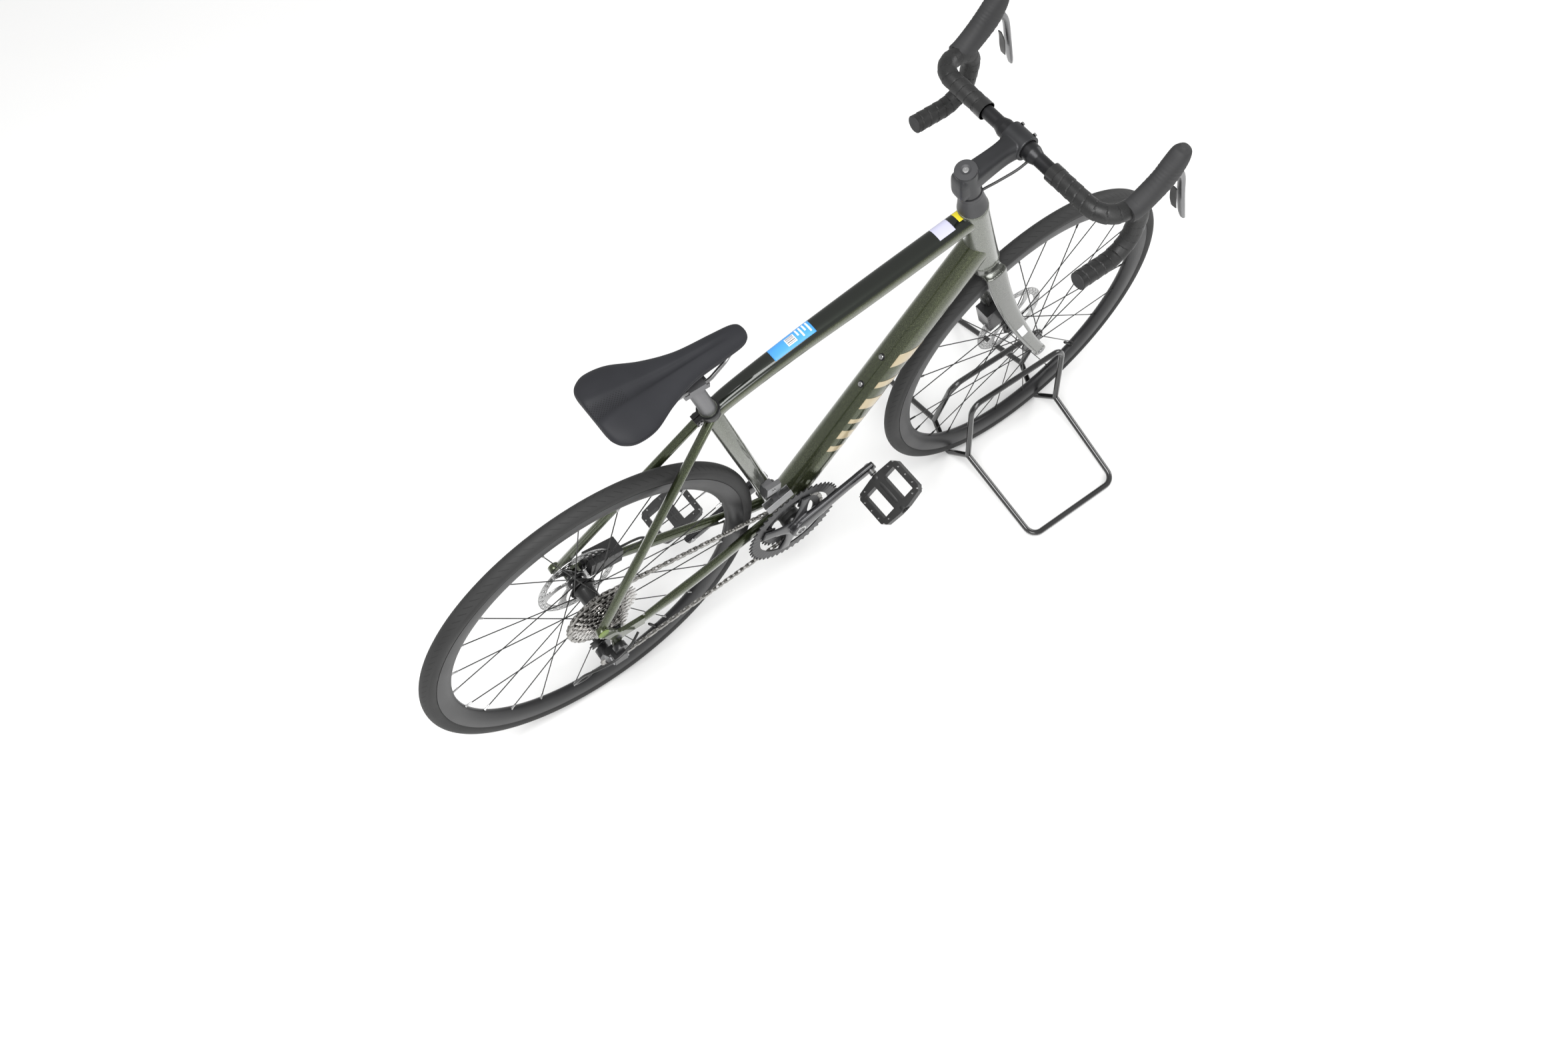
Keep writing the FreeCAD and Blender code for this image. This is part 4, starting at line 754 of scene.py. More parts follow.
def spoke_ends(end, axle_place):
    """Rim end and hub end of every spoke, by the same rule as the spokes themselves."""
    index = np.arange(SPOKE_COUNT)
    flange = np.where(index % 2 == 0, *FLANGES[end])
    lean = np.where((index // 2) % 2 == 1, 1.0, -1.0)
    rim_angle = np.radians(index * 360.0 / SPOKE_COUNT)
    hub_angle = rim_angle + lean * math.radians(SPOKE_CROSSING)
    outer = np.stack([np.sin(rim_angle) * RIM_BED, np.copysign(1.5, flange), np.cos(rim_angle) * RIM_BED],
                     axis=1)
    inner = np.stack([np.sin(hub_angle) * SPOKE_CIRCLE, flange + lean * 3.9,
                      np.cos(hub_angle) * SPOKE_CIRCLE], axis=1)
    return axle_place + outer * MM, axle_place + inner * MM


def nipples(end, axle_place):
    """One small turned nipple at the origin, copied to each rim end and pointed along its spoke."""
    outer, inner = spoke_ends(end, axle_place)
    one = turned([(2.6, -2.0), (2.6, 1.0), (1.9, 2.0), (1.9, 11.0), (1.5, 12.5)], np.zeros(3), Z_AXIS,
                 columns=8)
    run = unit(inner - outer)
    side = unit(np.cross(run, Y_AXIS))
    turns = np.stack([side, np.cross(run, side), run], axis=2)
    return repeated(one, placed(turns, outer))


def valve(axle_place, degrees):
    """Threaded stem, lock nut and a slim cap, pointing from the rim to the hub."""
    outward = np.array([math.cos(math.radians(degrees)), 0, math.sin(math.radians(degrees))])
    foot = axle_place + outward * 286 * MM
    profile = [(6.5, 0), (6.5, 2.5), (3.0, 3.2), (3.0, 20.0), (2.4, 20.4), (2.4, 22.0), (3.1, 22.4),
               (3.1, 34.0), (2.2, 38.0)]
    return turned(profile, foot, -outward, columns=16)


for end, finish_name in (("front", "bolt_black"), ("rear", "bolt_steel")):
    axle_place, body = WHEELS[end]
    make(f"{end}_nipples", nipples(end, axle_place), body, finish_name)
    make(f"{end}_valve", valve(axle_place, VALVE_ANGLE[end]), body, "bolt_black")

# %% [markdown]
# ## Brake rotors
# A rotor is a thin steel plate: an outer band with rows of slanted slots, and curved arms that
# run in to the hub. A polar grid is leaned over so that its columns follow the arms; a keep-rule
# then drops the cells that fall in a slot or between the arms, and Solidify gives the thickness.

# %% Rotors
ROTOR_ROWS, ROTOR_COLUMNS, ROTOR_LEAN = 30, 360, math.radians(34)
ROTOR_OUT, ROTOR_IN, BAND_IN, HUB_OUT = 79.8, 17.0, 65.0, 24.0


def rotor_sheet(axle_place, offset):
    """Keeps a cell of the leaning polar grid if it is rim, arm or centre, and not a slot."""
    radius = np.linspace(ROTOR_IN, ROTOR_OUT, ROTOR_ROWS + 1)
    base = np.linspace(0, 2 * np.pi, ROTOR_COLUMNS, endpoint=False)
    angle = base[None, :] + ROTOR_LEAN * ((radius - ROTOR_IN) / (ROTOR_OUT - ROTOR_IN))[:, None]
    ring = np.stack([np.cos(angle), np.zeros_like(angle), np.sin(angle)], axis=-1)
    points = axle_place + radius[:, None, None] * ring * MM + Y_AXIS * offset * MM
    middle = (radius[:-1] + radius[1:])[:, None] / 2
    column = np.arange(ROTOR_COLUMNS)[None, :]
    step = np.arange(ROTOR_ROWS)[:, None]
    arm_width = 8 + 7 * ((middle - 45) / 30) ** 2
    arm = (np.abs((column % 60) - 30) < arm_width) & (middle > HUB_OUT - 2)
    band = middle > BAND_IN
    slot_one = (column % 12 < 5) & ((step == ROTOR_ROWS - 6) | (step == ROTOR_ROWS - 5))
    slot_two = ((column + 6) % 12 < 5) & ((step == ROTOR_ROWS - 3) | (step == ROTOR_ROWS - 2))
    keep = ((middle < HUB_OUT) | arm | band) & ~slot_one & ~slot_two
    faces = grid_quads(ROTOR_ROWS + 1, ROTOR_COLUMNS)[keep.ravel()]
    uv = np.stack([base[None, :] + 0 * angle, radius[:, None] * MM + 0 * angle], axis=-1)
    return points.reshape(-1, 3), faces, uv.reshape(-1, 2)


def lock_ring(centre, reach):
    """A turned ring whose stepped face holds the disc on its hub."""
    profile = [(13.5, -4.2), (13.5, -1.2), (16.5, -1.0), (21.0, 0.9), (21.5, 3.0), (reach, 3.2),
               (reach, -4.2)]
    return turned(profile, centre, columns=48, closed=True)


for end, offset in (("front", 35.0), ("rear", 55.0)):
    axle_place, body = WHEELS[end]
    rotor = make(f"{end}_rotor_disc", rotor_sheet(axle_place, offset), body, "rotor_steel",
                 [f"{end}_rotor"], merge=False)
    wall = rotor.modifiers.new("thickness", "SOLIDIFY")
    wall.thickness = 1.8 * MM
    wall.offset = 0
    ring_place = axle_place + Y_AXIS * (offset + 0.8) * MM
    make(f"{end}_lock_ring", lock_ring(ring_place, 18.5), body, "hub_black")

# %% [markdown]
# ## Hub caps
# The CAD hubs keep their shape. Each gets a turned end cap and, between its flanges, a waisted
# barrel, as forged hubs have.

# %% Hub barrels and end caps
HUB_SHAPE = {"front": (-30.0, 17.0, 10.5, 47.0), "rear": (-11.0, 32.0, 14.0, 68.0)}
for end, (axle_place, body) in WHEELS.items():
    low, high, waist, cap_at = HUB_SHAPE[end]
    length = np.linspace(low, high, 15)
    bulge = waist + 7.0 * np.abs((length - (low + high) / 2) / (high - low) * 2) ** 3
    barrel = turned([(7, low), *zip(bulge, length), (7, high)], axle_place, columns=40)
    caps = [turned([(10.5, sign * (cap_at - 5)), (12.4, sign * (cap_at - 4.2)), (12.4, sign * cap_at),
                    (11.4, sign * (cap_at + 1.4)), (8.6, sign * (cap_at + 1.9))], axle_place, columns=32)
            for sign in (1, -1)]
    make(f"{end}_hub_barrel", joined([barrel] + caps), body, "hub_black")

# %% [markdown]
# ## Frame tubes
# A skin is an oval whose centre and half sizes follow a curve through a few keys. The same formula
# is read at any share along and any angle round, so a label or a letter is a small patch of that
# skin, lifted by a fraction of a millimetre and thickened.

# %% Skins and patches
def skin(keys, shares, angles, power=2.0, lift=0.0):
    """Points of a tube: centre(s) + across.w(s).cos a + up.h(s).sin a, in metres."""
    shares, angles = np.broadcast_arrays(np.asarray(shares, dtype=float), angles)
    row = through(keys, shares.ravel())
    ahead = through(keys, shares.ravel() + 0.004)[:, :3] - through(keys, shares.ravel() - 0.004)[:, :3]
    up = unit(np.cross(ahead, Y_AXIS))
    up = up * np.where(up[:, 2:] < 0, -1.0, 1.0)
    across = unit(np.cross(ahead, up)) * np.sign(np.cross(ahead, up)[:, 1:2])
    wide, high = squircle(angles.ravel(), power)
    point = (row[:, :3] + across * ((row[:, 3] + lift) * wide)[:, None]
             + up * ((row[:, 4] + lift) * high)[:, None])
    return (point * MM).reshape(*shares.shape, 3)


def skin_tube(keys, power=2.0, rows=90, columns=56):
    """The whole tube, closed at both ends, with a mask that is 1 on top and -1 below."""
    shares = np.linspace(0, 1, rows)[:, None]
    angles = np.linspace(0, 2 * np.pi, columns, endpoint=False)[None]
    top = np.repeat(np.sin(angles), rows + 2, axis=0).ravel()
    return shell(capped(skin(keys, shares, angles, power))), top


PATCH_POINTS = 26


def sticker(name, keys, share, angle, finish_name, body="frame", power=2.0, slant=0.0, lift=0.15):
    """A patch between two shares and two angles; slant moves its far edge along the tube."""
    steps = np.linspace(0, 1, PATCH_POINTS)
    across, along = np.meshgrid(steps, steps)
    shares = share[0] + (share[1] - share[0]) * along + slant * across
    angles = np.radians(angle[0] + (angle[1] - angle[0]) * across)
    points = skin(keys, shares, angles, power, lift)
    i, j = np.meshgrid(np.arange(PATCH_POINTS - 1), np.arange(PATCH_POINTS - 1), indexing="ij")
    corner = i * PATCH_POINTS + j
    beyond = corner + PATCH_POINTS
    faces = np.stack([corner, corner + 1, beyond + 1, beyond], axis=-1).reshape(-1, 4)
    item = make(name, (points.reshape(-1, 3), faces, None), body, finish_name)
    thicken = item.modifiers.new("thicken", "SOLIDIFY")
    thicken.thickness = 0.00025
    thicken.offset = -1.0


def frame_keys(*rows):
    """Rows of centre (in metres) and two half sizes in millimetres as keys of a skin."""
    return np.array([[*(np.asarray(centre) / MM), wide, high] for centre, wide, high in rows])


print("skin helpers ready")

# %% Two-colour paints that read a mask
def masked_paint(name, low, high, other, start, end):
    """Metallic paint that turns into another colour as the point mask 'top' passes start..end."""
    metallic_paint(name, low, high, (0.20, 0.23, 0.12))
    kept = FINISHES[name]
    tree = kept["tree"]
    mask = tree.nodes.new("ShaderNodeAttribute")
    mask.attribute_name = "top"
    band = tree.nodes.new("ShaderNodeMapRange")
    tree.links.new(mask.outputs["Fac"], band.inputs["Value"])
    band.inputs["From Min"].default_value = start
    band.inputs["From Max"].default_value = end
    tree.links.new(mix_colours(tree, band.outputs[0], kept["colour"], other),
                   kept["shader"].inputs["Base Color"])


masked_paint("top_tube_paint", (0.030, 0.036, 0.017), (0.042, 0.048, 0.023), (0.008, 0.011, 0.007), 0.42,
             0.62)
masked_paint("down_tube_paint", (0.026, 0.032, 0.015), (0.038, 0.044, 0.021), (0.13, 0.14, 0.11), -0.55,
             -0.75)
print("two-colour paints made")

# %% Top tube
head_end, bend, seat_end = on_steerer(543), at(-188, 0, 753), on_seat_tube(476)
TOP_KEYS = frame_keys((head_end, 20, 18), (0.75 * head_end + 0.25 * bend, 20.6, 17.2),
                      (0.5 * head_end + 0.5 * bend, 20.5, 16.6), (0.2 * head_end + 0.8 * bend, 18.4, 15.2),
                      (0.5 * bend + 0.5 * seat_end + at(0, 0, 3), 16.6, 14.6), (seat_end, 15, 14))
source, top = skin_tube(TOP_KEYS, power=2.7)
make("top_tube_skin", source, "frame", "top_tube_paint", ["top_tube"], masks={"top": top})
sticker("label_blue", TOP_KEYS, (0.53, 0.645), (40, 118), "label_blue", power=2.7)
sticker("label_square", TOP_KEYS, (0.575, 0.600), (62, 98), "label_white", power=2.7, lift=0.3)
for index in range(4):
    start = 0.536 + 0.0095 * index
    sticker(f"label_line_{index}", TOP_KEYS, (start, start + 0.004), (52, 100 - 12 * (index % 2)),
            "label_white", power=2.7, lift=0.3)
for index in range(7):
    sticker(f"label_code_{index}", TOP_KEYS, (0.577, 0.598),
            (64 + 4.6 * index, 65.6 + 4.6 * index + index % 2),
            "label_ink", power=2.7, lift=0.42)
sticker("label_lilac", TOP_KEYS, (0.095, 0.142), (38, 118), "label_lilac", power=2.7)
sticker("label_yellow", TOP_KEYS, (0.028, 0.075), (44, 100), "label_yellow", power=2.7)
sticker("label_yellow_line", TOP_KEYS, (0.045, 0.058), (56, 88), "label_ink", power=2.7,
        lift=0.3)

# %% Down tube and its generic slanted marks
down_top, down_low = on_steerer(450), BRACKET + at(4, 0, 6)
DOWN_KEYS = frame_keys((down_top, 26, 29), (0.5 * down_top + 0.5 * down_low, 27.5, 28.6),
                       (0.25 * down_top + 0.75 * down_low, 28.6, 26.0), (down_low, 29.5, 21.5))
source, top = skin_tube(DOWN_KEYS, power=2.3)
make("down_tube_skin", source, "frame", "down_tube_paint", ["down_tube"], masks={"top": top})
MARKS = [(0.215, 0.030), (0.285, 0.020), (0.345, 0.045), (0.445, 0.024), (0.515, 0.050), (0.610, 0.030)]
for index, (start, width) in enumerate(MARKS):
    sticker(f"side_mark_{index}", DOWN_KEYS, (start, start + width), (214, 138), "letter_tan",
            power=2.3, slant=0.035)
run = unit(down_low - down_top)
outward = np.cross(Y_AXIS, run)
outward = outward * np.sign(outward[2])
boss_middle = down_top + (down_low - down_top) * 0.47
bosses = [boss_middle + run * offset * MM + outward * 29.6 * MM for offset in (-32, 32)]
make("bottle_seats", joined([turned([(4.6, -4), (6.6, -3), (6.6, -0.4), (5.8, 0), (2.6, 0)], centre, outward)
                             for centre in bosses]), "frame", "bolt_black")
screws("bottle_bolts", [(centre, outward) for centre in bosses], 4.4, 2.8, "frame",
       "bolt_steel")

# %% Weld beads
def bead(first, way, radius, height):
    """A thin rippled ring round a tube's end: its own radius is 1.9 + 0.25 cos(70 a), in millimetres."""
    angles = np.linspace(0, 2 * np.pi, 420, endpoint=False)
    side, up, along = basis(way)
    ring = (radius * np.cos(angles))[:, None] * side + (radius * np.sin(angles))[:, None] * up
    rise = 1.9 + 0.25 * np.cos(70 * angles)
    turn = np.linspace(0, 2 * np.pi, 8, endpoint=False)[:, None]
    outward_way = unit(ring)
    grid = (np.asarray(first) + MM * (ring[None] + (rise * np.cos(turn))[..., None] * outward_way[None]
                                      + (rise * np.sin(turn))[..., None] * along + height * along))
    return shell(grid, wrap_rows=True)


beads = [bead(on_seat_tube(481), SEAT_UP, 15.6, 0), bead(on_steerer(572), STEER_UP, 24.2, -2.5),
         bead(on_steerer(391), STEER_UP, 26.8, 2.5)]
make("tube_rims", joined(beads), "frame", "sage_paint")

# %% Green caps on the dropouts
caps = [turned([(10.6, side * 79.2), (10.9, side * 79.6), (9.6, side * 80.4), (3.5, side * 80.6)],
               at(-530, 0, 390))
        for side in SIDES.values()]
make("dropout_caps", joined(caps), "frame", "cap_green")

# %% [markdown]
# ## Fork
# The carbon fork is one moulding. Both blades follow the rake curve offset = rake.share^2, and the
# crown, the seat for the lower bearing and the axle eyes are melted into them.

# %% Fork
RAKE = float(np.dot(FRONT_AXLE - STEER_FOOT, STEER_FORWARD)) / MM


print("rake", round(RAKE, 1), "mm")


def fork_keys(side):
    share = np.linspace(0, 1, 9)[:, None]
    centre = (STEER_FOOT + STEER_UP * 374 * (1 - share) * MM + STEER_FORWARD * RAKE * share ** 2 * MM
              + side * (31 + 25 * share) * Y_AXIS * MM)
    wide, fore = 9.2 - 3.9 * share, 21.6 - 9.8 * share
    return np.hstack([centre / MM, wide, fore])


def fork_shell():
    parts = []
    for side in SIDES.values():
        keys = fork_keys(side)
        line = through(keys, np.linspace(0, 1, 60))
        parts.append(shell(capped(loft(line[:, :3] * MM, line[:, 3] * MM, line[:, 4] * MM, power=2.6))))
        parts.append(turned([(12.6, side * 50.6), (12.8, side * 52), (12.8, side * 60), (12.0, side * 60.8)],
                            FRONT_AXLE))
    crown_turn = np.stack([STEER_FORWARD, Y_AXIS, STEER_UP], axis=1)
    parts.append(pebble(on_steerer(367), (22.5, 39.0, 10.0), crown_turn, power=3.4))
    parts.append(turned([(27.2, 368), (27.3, 389.8), (25.5, 390.4)], on_steerer(0), STEER_UP, 64))
    return joined(parts)


cast(make("fork_moulding", fork_shell(), "fork", "fork_paint", ["fork"]), 1.5, 5)
sticker("fork_label", fork_keys(-1), (0.60, 0.70), (160, 205), "label_white", "fork", 2.6,
        lift=0.35)

# %% [markdown]
# ## Bar and tape
# The bar's route is the same set of corner points that the CAD bends it through. The tape adds a
# saw-tooth radius that climbs once per turn, so that each wrap overlaps the one before it.

# %% Bar route
def bar_route(side, start):
    """Bar centre line: straight runs with rounded corners, sampled every millimetre or two."""
    half = 198.0
    corners = np.array([(345, side * start, 963), (345, side * (half - 3), 963), (427, side * half, 956),
                        (424, side * (half + 2), 846), (319, side * (half + 3), 843)], dtype=float)
    pieces = [corners[:1]]
    for index, bend_radius in zip((1, 2, 3), (38, 40, 50)):
        before, here, after = corners[index - 1], corners[index], corners[index + 1]
        back, ahead = unit(before - here), unit(after - here)
        angle = math.acos(float(np.dot(back, ahead)))
        reach = bend_radius / math.tan(angle / 2)
        middle = here + unit(back + ahead) * bend_radius / math.sin(angle / 2)
        sweep = np.linspace(0, 1, 24)[:, None]
        first, last = here + back * reach - middle, here + ahead * reach - middle
        turn = math.pi - angle
        pieces.append(middle
                      + (np.sin((1 - sweep) * turn) * first + np.sin(sweep * turn) * last) / math.sin(turn))
    line = np.concatenate(pieces + [corners[-1:]])
    distance = np.concatenate([[0], np.cumsum(np.linalg.norm(np.diff(line, axis=0), axis=1))])
    steps = np.arange(0, distance[-1], 1.4)
    even = np.stack([np.interp(steps, distance, line[:, column]) for column in range(3)], axis=1)
    return even, steps


def frames_along(line):
    """Tangent, side and up at each point; one fixed helper direction keeps them from twisting."""
    tangent = unit(np.gradient(line, axis=0))
    helper = unit(np.array([0.25, 0.12, 0.0]) + np.array([0, 0, 1.0]) * 0.05)
    helper = np.where(np.abs(tangent @ helper)[:, None] > 0.97, Z_AXIS, helper)
    side = unit(np.cross(helper, tangent))
    return tangent, side, np.cross(tangent, side)


def swept(line, radius, columns=40, uv=None):
    """Closed skin round a line in millimetres; radius has one value per point and per column."""
    _, side, up = frames_along(line)
    angles = np.linspace(0, 2 * np.pi, columns, endpoint=False)
    ring = side[:, None] * np.cos(angles)[None, :, None] + up[:, None] * np.sin(angles)[None, :, None]
    grid = (line[:, None] + ring * radius[..., None]) * MM
    return shell(capped(grid), uv=uv)


print("bar length", round(float(bar_route(1, 0)[1][-1])), "mm a side")

# %% Tape wraps
WRAP_PITCH, TAPE_START = 17.0, 76.0


def tape_shell(side):
    """Radius climbs from 15 to 15.95 mm over each wrap's pitch, with a narrow groove where it drops."""
    line, steps = bar_route(side, TAPE_START)
    angles = np.linspace(0, 1, 40, endpoint=False)[None]
    phase = (steps[:, None] / WRAP_PITCH + side * angles) % 1
    radius = 15.0 + 0.95 * phase ** 0.8
    radius = radius - 0.8 * np.exp(-(phase / 0.05) ** 2)
    rows = np.concatenate([steps[:1], steps, steps[-1:]])
    uv = np.stack(np.broadcast_arrays(rows[:, None] * MM, angles * 0.090), axis=-1)
    return swept(line, radius, uv=uv)


print("wraps", round(float(bar_route(1, TAPE_START)[1][-1]) / WRAP_PITCH), "a side")

# %% Bar, tape, finishing tape and end plugs
bar_line, _ = bar_route(1, 0)
bar_radius = 11.75 + 4.0 * np.clip((46 - np.abs(bar_line[:, 1])) / 12, 0, 1)
bar_halves = []
for side in SIDES.values():
    line, _ = bar_route(side, 0)
    bar_halves.append(swept(line[:-2], np.repeat(bar_radius[:-2, None], 40, axis=1)))
make("bar_tube", joined(bar_halves), "fork", "bar_alloy", ["handlebar"])
ends = []
for label, side in SIDES.items():
    make(f"tape_wrap_{label}", tape_shell(side), "fork", "bar_tape", [f"bar_tape_{label}"])
    line, _ = bar_route(side, TAPE_START)
    tail = line[-1]
    way = unit(line[-1] - line[-6])
    ends.append(turned([(14.6, -3.0), (14.9, -0.5), (13.8, 1.1), (9, 1.6), (4, 1.2)], tail * MM, way, 40))
    band = line[:12]
    make(f"tape_end_{label}", swept(band, np.full((12, 40), 16.2)), "fork", "tape_gloss")
make("bar_plugs", joined(ends), "fork", "hood_rubber")

# %% [markdown]
# ## Hoods, levers and paddles
# A hood is a soft blob that swells out of the bar and rises to a horn. The lever blade is a thin
# curved loft with a rounded front, and a paddle is a flat tongue behind it.

# %% Hoods
HOOD_ROWS = [(388, 200.5, 958, 16.4, 17.0), (404, 201, 962, 17.4, 20.0), (424, 202, 976, 17.0, 22.4),
             (447, 203, 998, 16.2, 25.4), (460, 203, 1020, 16.4, 22.0), (467, 203, 1037, 15.4, 17.4),
             (471, 203, 1045.5, 12.8, 13.2), (472.5, 203, 1051, 7.0, 7.0)]


def hood_shell(side):
    """Hood skin with 26 low ribs: 0.35 sin(52 pi s) exp(-((s - 0.45) / 0.16)^2), in millimetres."""
    share = np.linspace(0, 1, 90)
    rows = through(HOOD_ROWS, share)
    rows[:, 1] *= side
    rib = 0.35 * np.sin(share * 2 * np.pi * 26) * np.exp(-((share - 0.45) / 0.16) ** 2)
    return shell(capped(loft(rows[:, :3] * MM, (rows[:, 3] + rib) * MM, (rows[:, 4] + rib * 0.5) * MM,
                             power=2.5, columns=56)))


LEVER_ROWS = [(466, 203, 1012, 5.0, 6.5), (473, 203, 1000, 5.4, 7.0), (494, 203.5, 975, 6.3, 5.4),
              (512, 204.5, 925, 7.6, 4.4), (530, 207, 876, 7.2, 3.8), (538, 209, 857, 5.4, 2.8)]
PADDLE_ROWS = [(489, 205, 951, 4.5, 1.1), (494, 202, 937, 7.0, 1.2), (501, 202.5, 914, 7.4, 1.2),
               (508, 204, 896, 6.0, 1.1)]


def blade_shell(table, side, power, columns=36):
    rows = through(table, np.linspace(0, 1, 60))
    rows[:, 1] *= side
    return shell(capped(loft(rows[:, :3] * MM, rows[:, 3] * MM, rows[:, 4] * MM, power=power,
                             columns=columns)))


for label, side in SIDES.items():
    make(f"hood_skin_{label}", hood_shell(side), "fork", "hood_rubber", [f"hood_{label}"])
    make(f"lever_blade_{label}", blade_shell(LEVER_ROWS, side, 2.4), f"brake_lever_{label}", "lever_alloy",
         [f"brake_lever_{label}"])
    make(f"paddle_tongue_{label}", blade_shell(PADDLE_ROWS, side, 3.2), f"shift_paddle_{label}",
         "paddle_black", [f"shift_paddle_{label}"])

# %% [markdown]
# ## Stem and headset cover
# The stem is a clamp on the steerer, an arm and a grip round the bar, melted into one forging. The
# faceplate belongs to the same skin, and four bolts mark its corners.

# %% Stem
STEM_WAY = unit(BAR_CENTRE - on_steerer(651.5))
STEM_UP = np.cross(STEM_WAY, Y_AXIS) * np.sign(np.cross(STEM_WAY, Y_AXIS)[2])
stem_rows = through([(0, 18.5, 19.0), (12, 18.0, 18.6), (45, 16.4, 17.4), (75, 16.2, 17.0),
                     (100, 20.0, 16.8)], np.linspace(0, 1, 30))
length = float(np.linalg.norm(BAR_CENTRE - on_steerer(651.5))) / MM
arm_line = on_steerer(651.5) + STEM_WAY * (stem_rows[:, :1] / 100 * (length - 10)) * MM
arm = shell(capped(loft(arm_line, stem_rows[:, 1] * MM, stem_rows[:, 2] * MM, power=4.5)))
clamp = turned([(18.0, 618.2), (18.7, 619), (18.7, 678.2), (17.8, 679.2)], on_steerer(0), STEER_UP, 64)
rear_lug = pebble(on_steerer(648) - STEM_WAY * 13 * MM, (11.5, 16.5, 28),
                  np.stack([STEM_WAY, Y_AXIS, STEM_UP], axis=1), power=4)
grip_ring = turned([(16.4, -21.5), (21.6, -21.5), (21.6, 21.5), (16.4, 21.5)], BAR_CENTRE, columns=64,
                   closed=True)
stem_item = make("stem_forging", joined([arm, clamp, rear_lug, grip_ring]), "fork", "stem_alloy",
                 ["stem", "stem_faceplate"])
cast(stem_item, 1.1, 5)
corner_bolts = [(BAR_CENTRE + STEM_WAY * 19.6 * MM + Y_AXIS * y * MM + STEM_UP * z * MM, STEM_WAY)
                for y in (-14, 14) for z in (-10.5, 10.5)]
screws("faceplate_bolts", corner_bolts, 3.4, 2.2, "fork", "bolt_steel")
rear_bolts = [(on_steerer(648) - STEM_WAY * 16 * MM - Y_AXIS * 12.2 * MM + STEM_UP * z * MM, -Y_AXIS)
              for z in (-13, 13)]
screws("stem_clamp_bolts", rear_bolts, 3.6, 2.0, "fork")
cap = turned([(17.6, 679.4), (18.2, 679.8), (17.9, 680.4), (9, 680.9), (7.5, 679.9), (0.6, 679.9)],
             on_steerer(0), STEER_UP, 64)
make("stem_cap", cap, "fork", "headset_black")
screws("stem_cap_bolt", [(on_steerer(679.9), STEER_UP)], 5.0, 0.8, "fork", "bolt_steel")
cover_profile = [(24.9, 571.6), (25.0, 574), (24.4, 578), (21.6, 596), (20.6, 603), (20.4, 609.6),
                 (19.9, 610), (20.3, 610.4), (20.0, 617), (15, 617.2)]
make("headset_cone", turned(cover_profile, on_steerer(0), STEER_UP, 72), "fork", "headset_black",
     ["headset"])
hoses = [[(345, 30 * side, 948), (325, 26 * side, 934), (296, 18 * side, 920), (268, 9 * side, 906),
          (250, 6 * side, 890)] for side in (1, -1)]
make("front_hoses", joined([tube(route, 2.3, 12, 60) for route in hoses]), "fork", "cable_black")

# %% [markdown]
# ## Saddle
# The padded cover is one skin over sections from the narrow nose to the wide rear. A channel that
# widens towards the rear is pressed into its top, depth.exp(-(y / width)^2), and a seam line runs
# round the edge. The pad is full and tight foam.

# %% Padded cover
SADDLE_ROWS = [(-184, 7, 4, 5, 893), (-188, 14.5, 9, 8, 892), (-200, 20, 13, 12, 890),
               (-230, 23, 15.4, 14, 889),
               (-290, 29, 16.4, 14, 888), (-340, 45, 16.6, 13, 889), (-385, 66.5, 16.6, 12, 892),
               (-420, 70.5, 16.4, 11, 895), (-440, 62, 14.4, 9, 897), (-449, 50, 10.5, 7, 899),
               (-451.6, 38, 6, 5, 900)]


def smooth_step(value, start, end):
    """0 before start, 1 after end, and 3t^2 - 2t^3 between."""
    t = np.clip((value - start) / (end - start), 0, 1)
    return t * t * (3 - 2 * t)


def saddle_skin(rows=110, columns=128):
    share = np.linspace(0, 1, rows)
    x, wide, above, below, height = (column[:, None] for column in through(SADDLE_ROWS, share).T)
    angles = np.linspace(0, 2 * np.pi, columns, endpoint=False)[None]
    side, rise = squircle(angles, 2.35)
    seam = np.exp(-((np.degrees(np.arcsin(np.clip(np.abs(rise), 0, 1))) - 9) / 3.2) ** 2) * (rise > 0)
    y = wide * side * (1 - 0.022 * seam)
    upper = rise > 0
    droop = 3.4 * (np.abs(side) ** 2.4) * smooth_step(share, 0.35, 0.8)[:, None]
    z = height + np.where(upper, above, below) * rise - droop
    channel_width = 4.5 + 15 * smooth_step(share, 0.3, 1.0)[:, None]
    depth = 4.6 * smooth_step(share, 0.22, 0.5)[:, None] * (1 - 0.25 * smooth_step(share, 0.85, 1.0)[:, None])
    z = z - upper * depth * np.exp(-(y / channel_width) ** 4) * smooth_step(rise, 0.3, 0.7)
    grid = np.stack(np.broadcast_arrays(x, y, z), axis=-1) * MM
    dots = upper * (np.abs(y) < 0.86 * channel_width) * (share[:, None] > 0.62) * (rise > 0.5)
    closed = capped(grid)
    dots = np.concatenate([dots[:1] * 0, dots, dots[-1:] * 0]).astype(float)
    uv = closed[..., :2]
    return shell(closed, uv=uv), dots.ravel()


source, dots = saddle_skin()
saddle_cover = make("saddle_pad", source, "seatpost", "saddle_cover", ["saddle"],
                    masks={"dots": dots})
post_top = on_seat_tube(607)
screws("saddle_clamp_bolts", [(post_top + at(-2 + offset, 0, 17), Z_AXIS) for offset in (-11, 11)], 4.0, 3.0,
       "seatpost", "bolt_steel")
collar = on_seat_tube(491.4) + SEAT_BACK * 23 * MM
screws("seat_collar_bolt", [(collar - Y_AXIS * 9 * MM, -Y_AXIS), (collar + Y_AXIS * 9 * MM, Y_AXIS)], 4.2,
       2.6, "frame", "bolt_steel")
barrel = turned([(2.4, -9), (2.4, 9)], collar, columns=20)
make("seat_collar_shank", barrel, "frame", "bolt_steel")

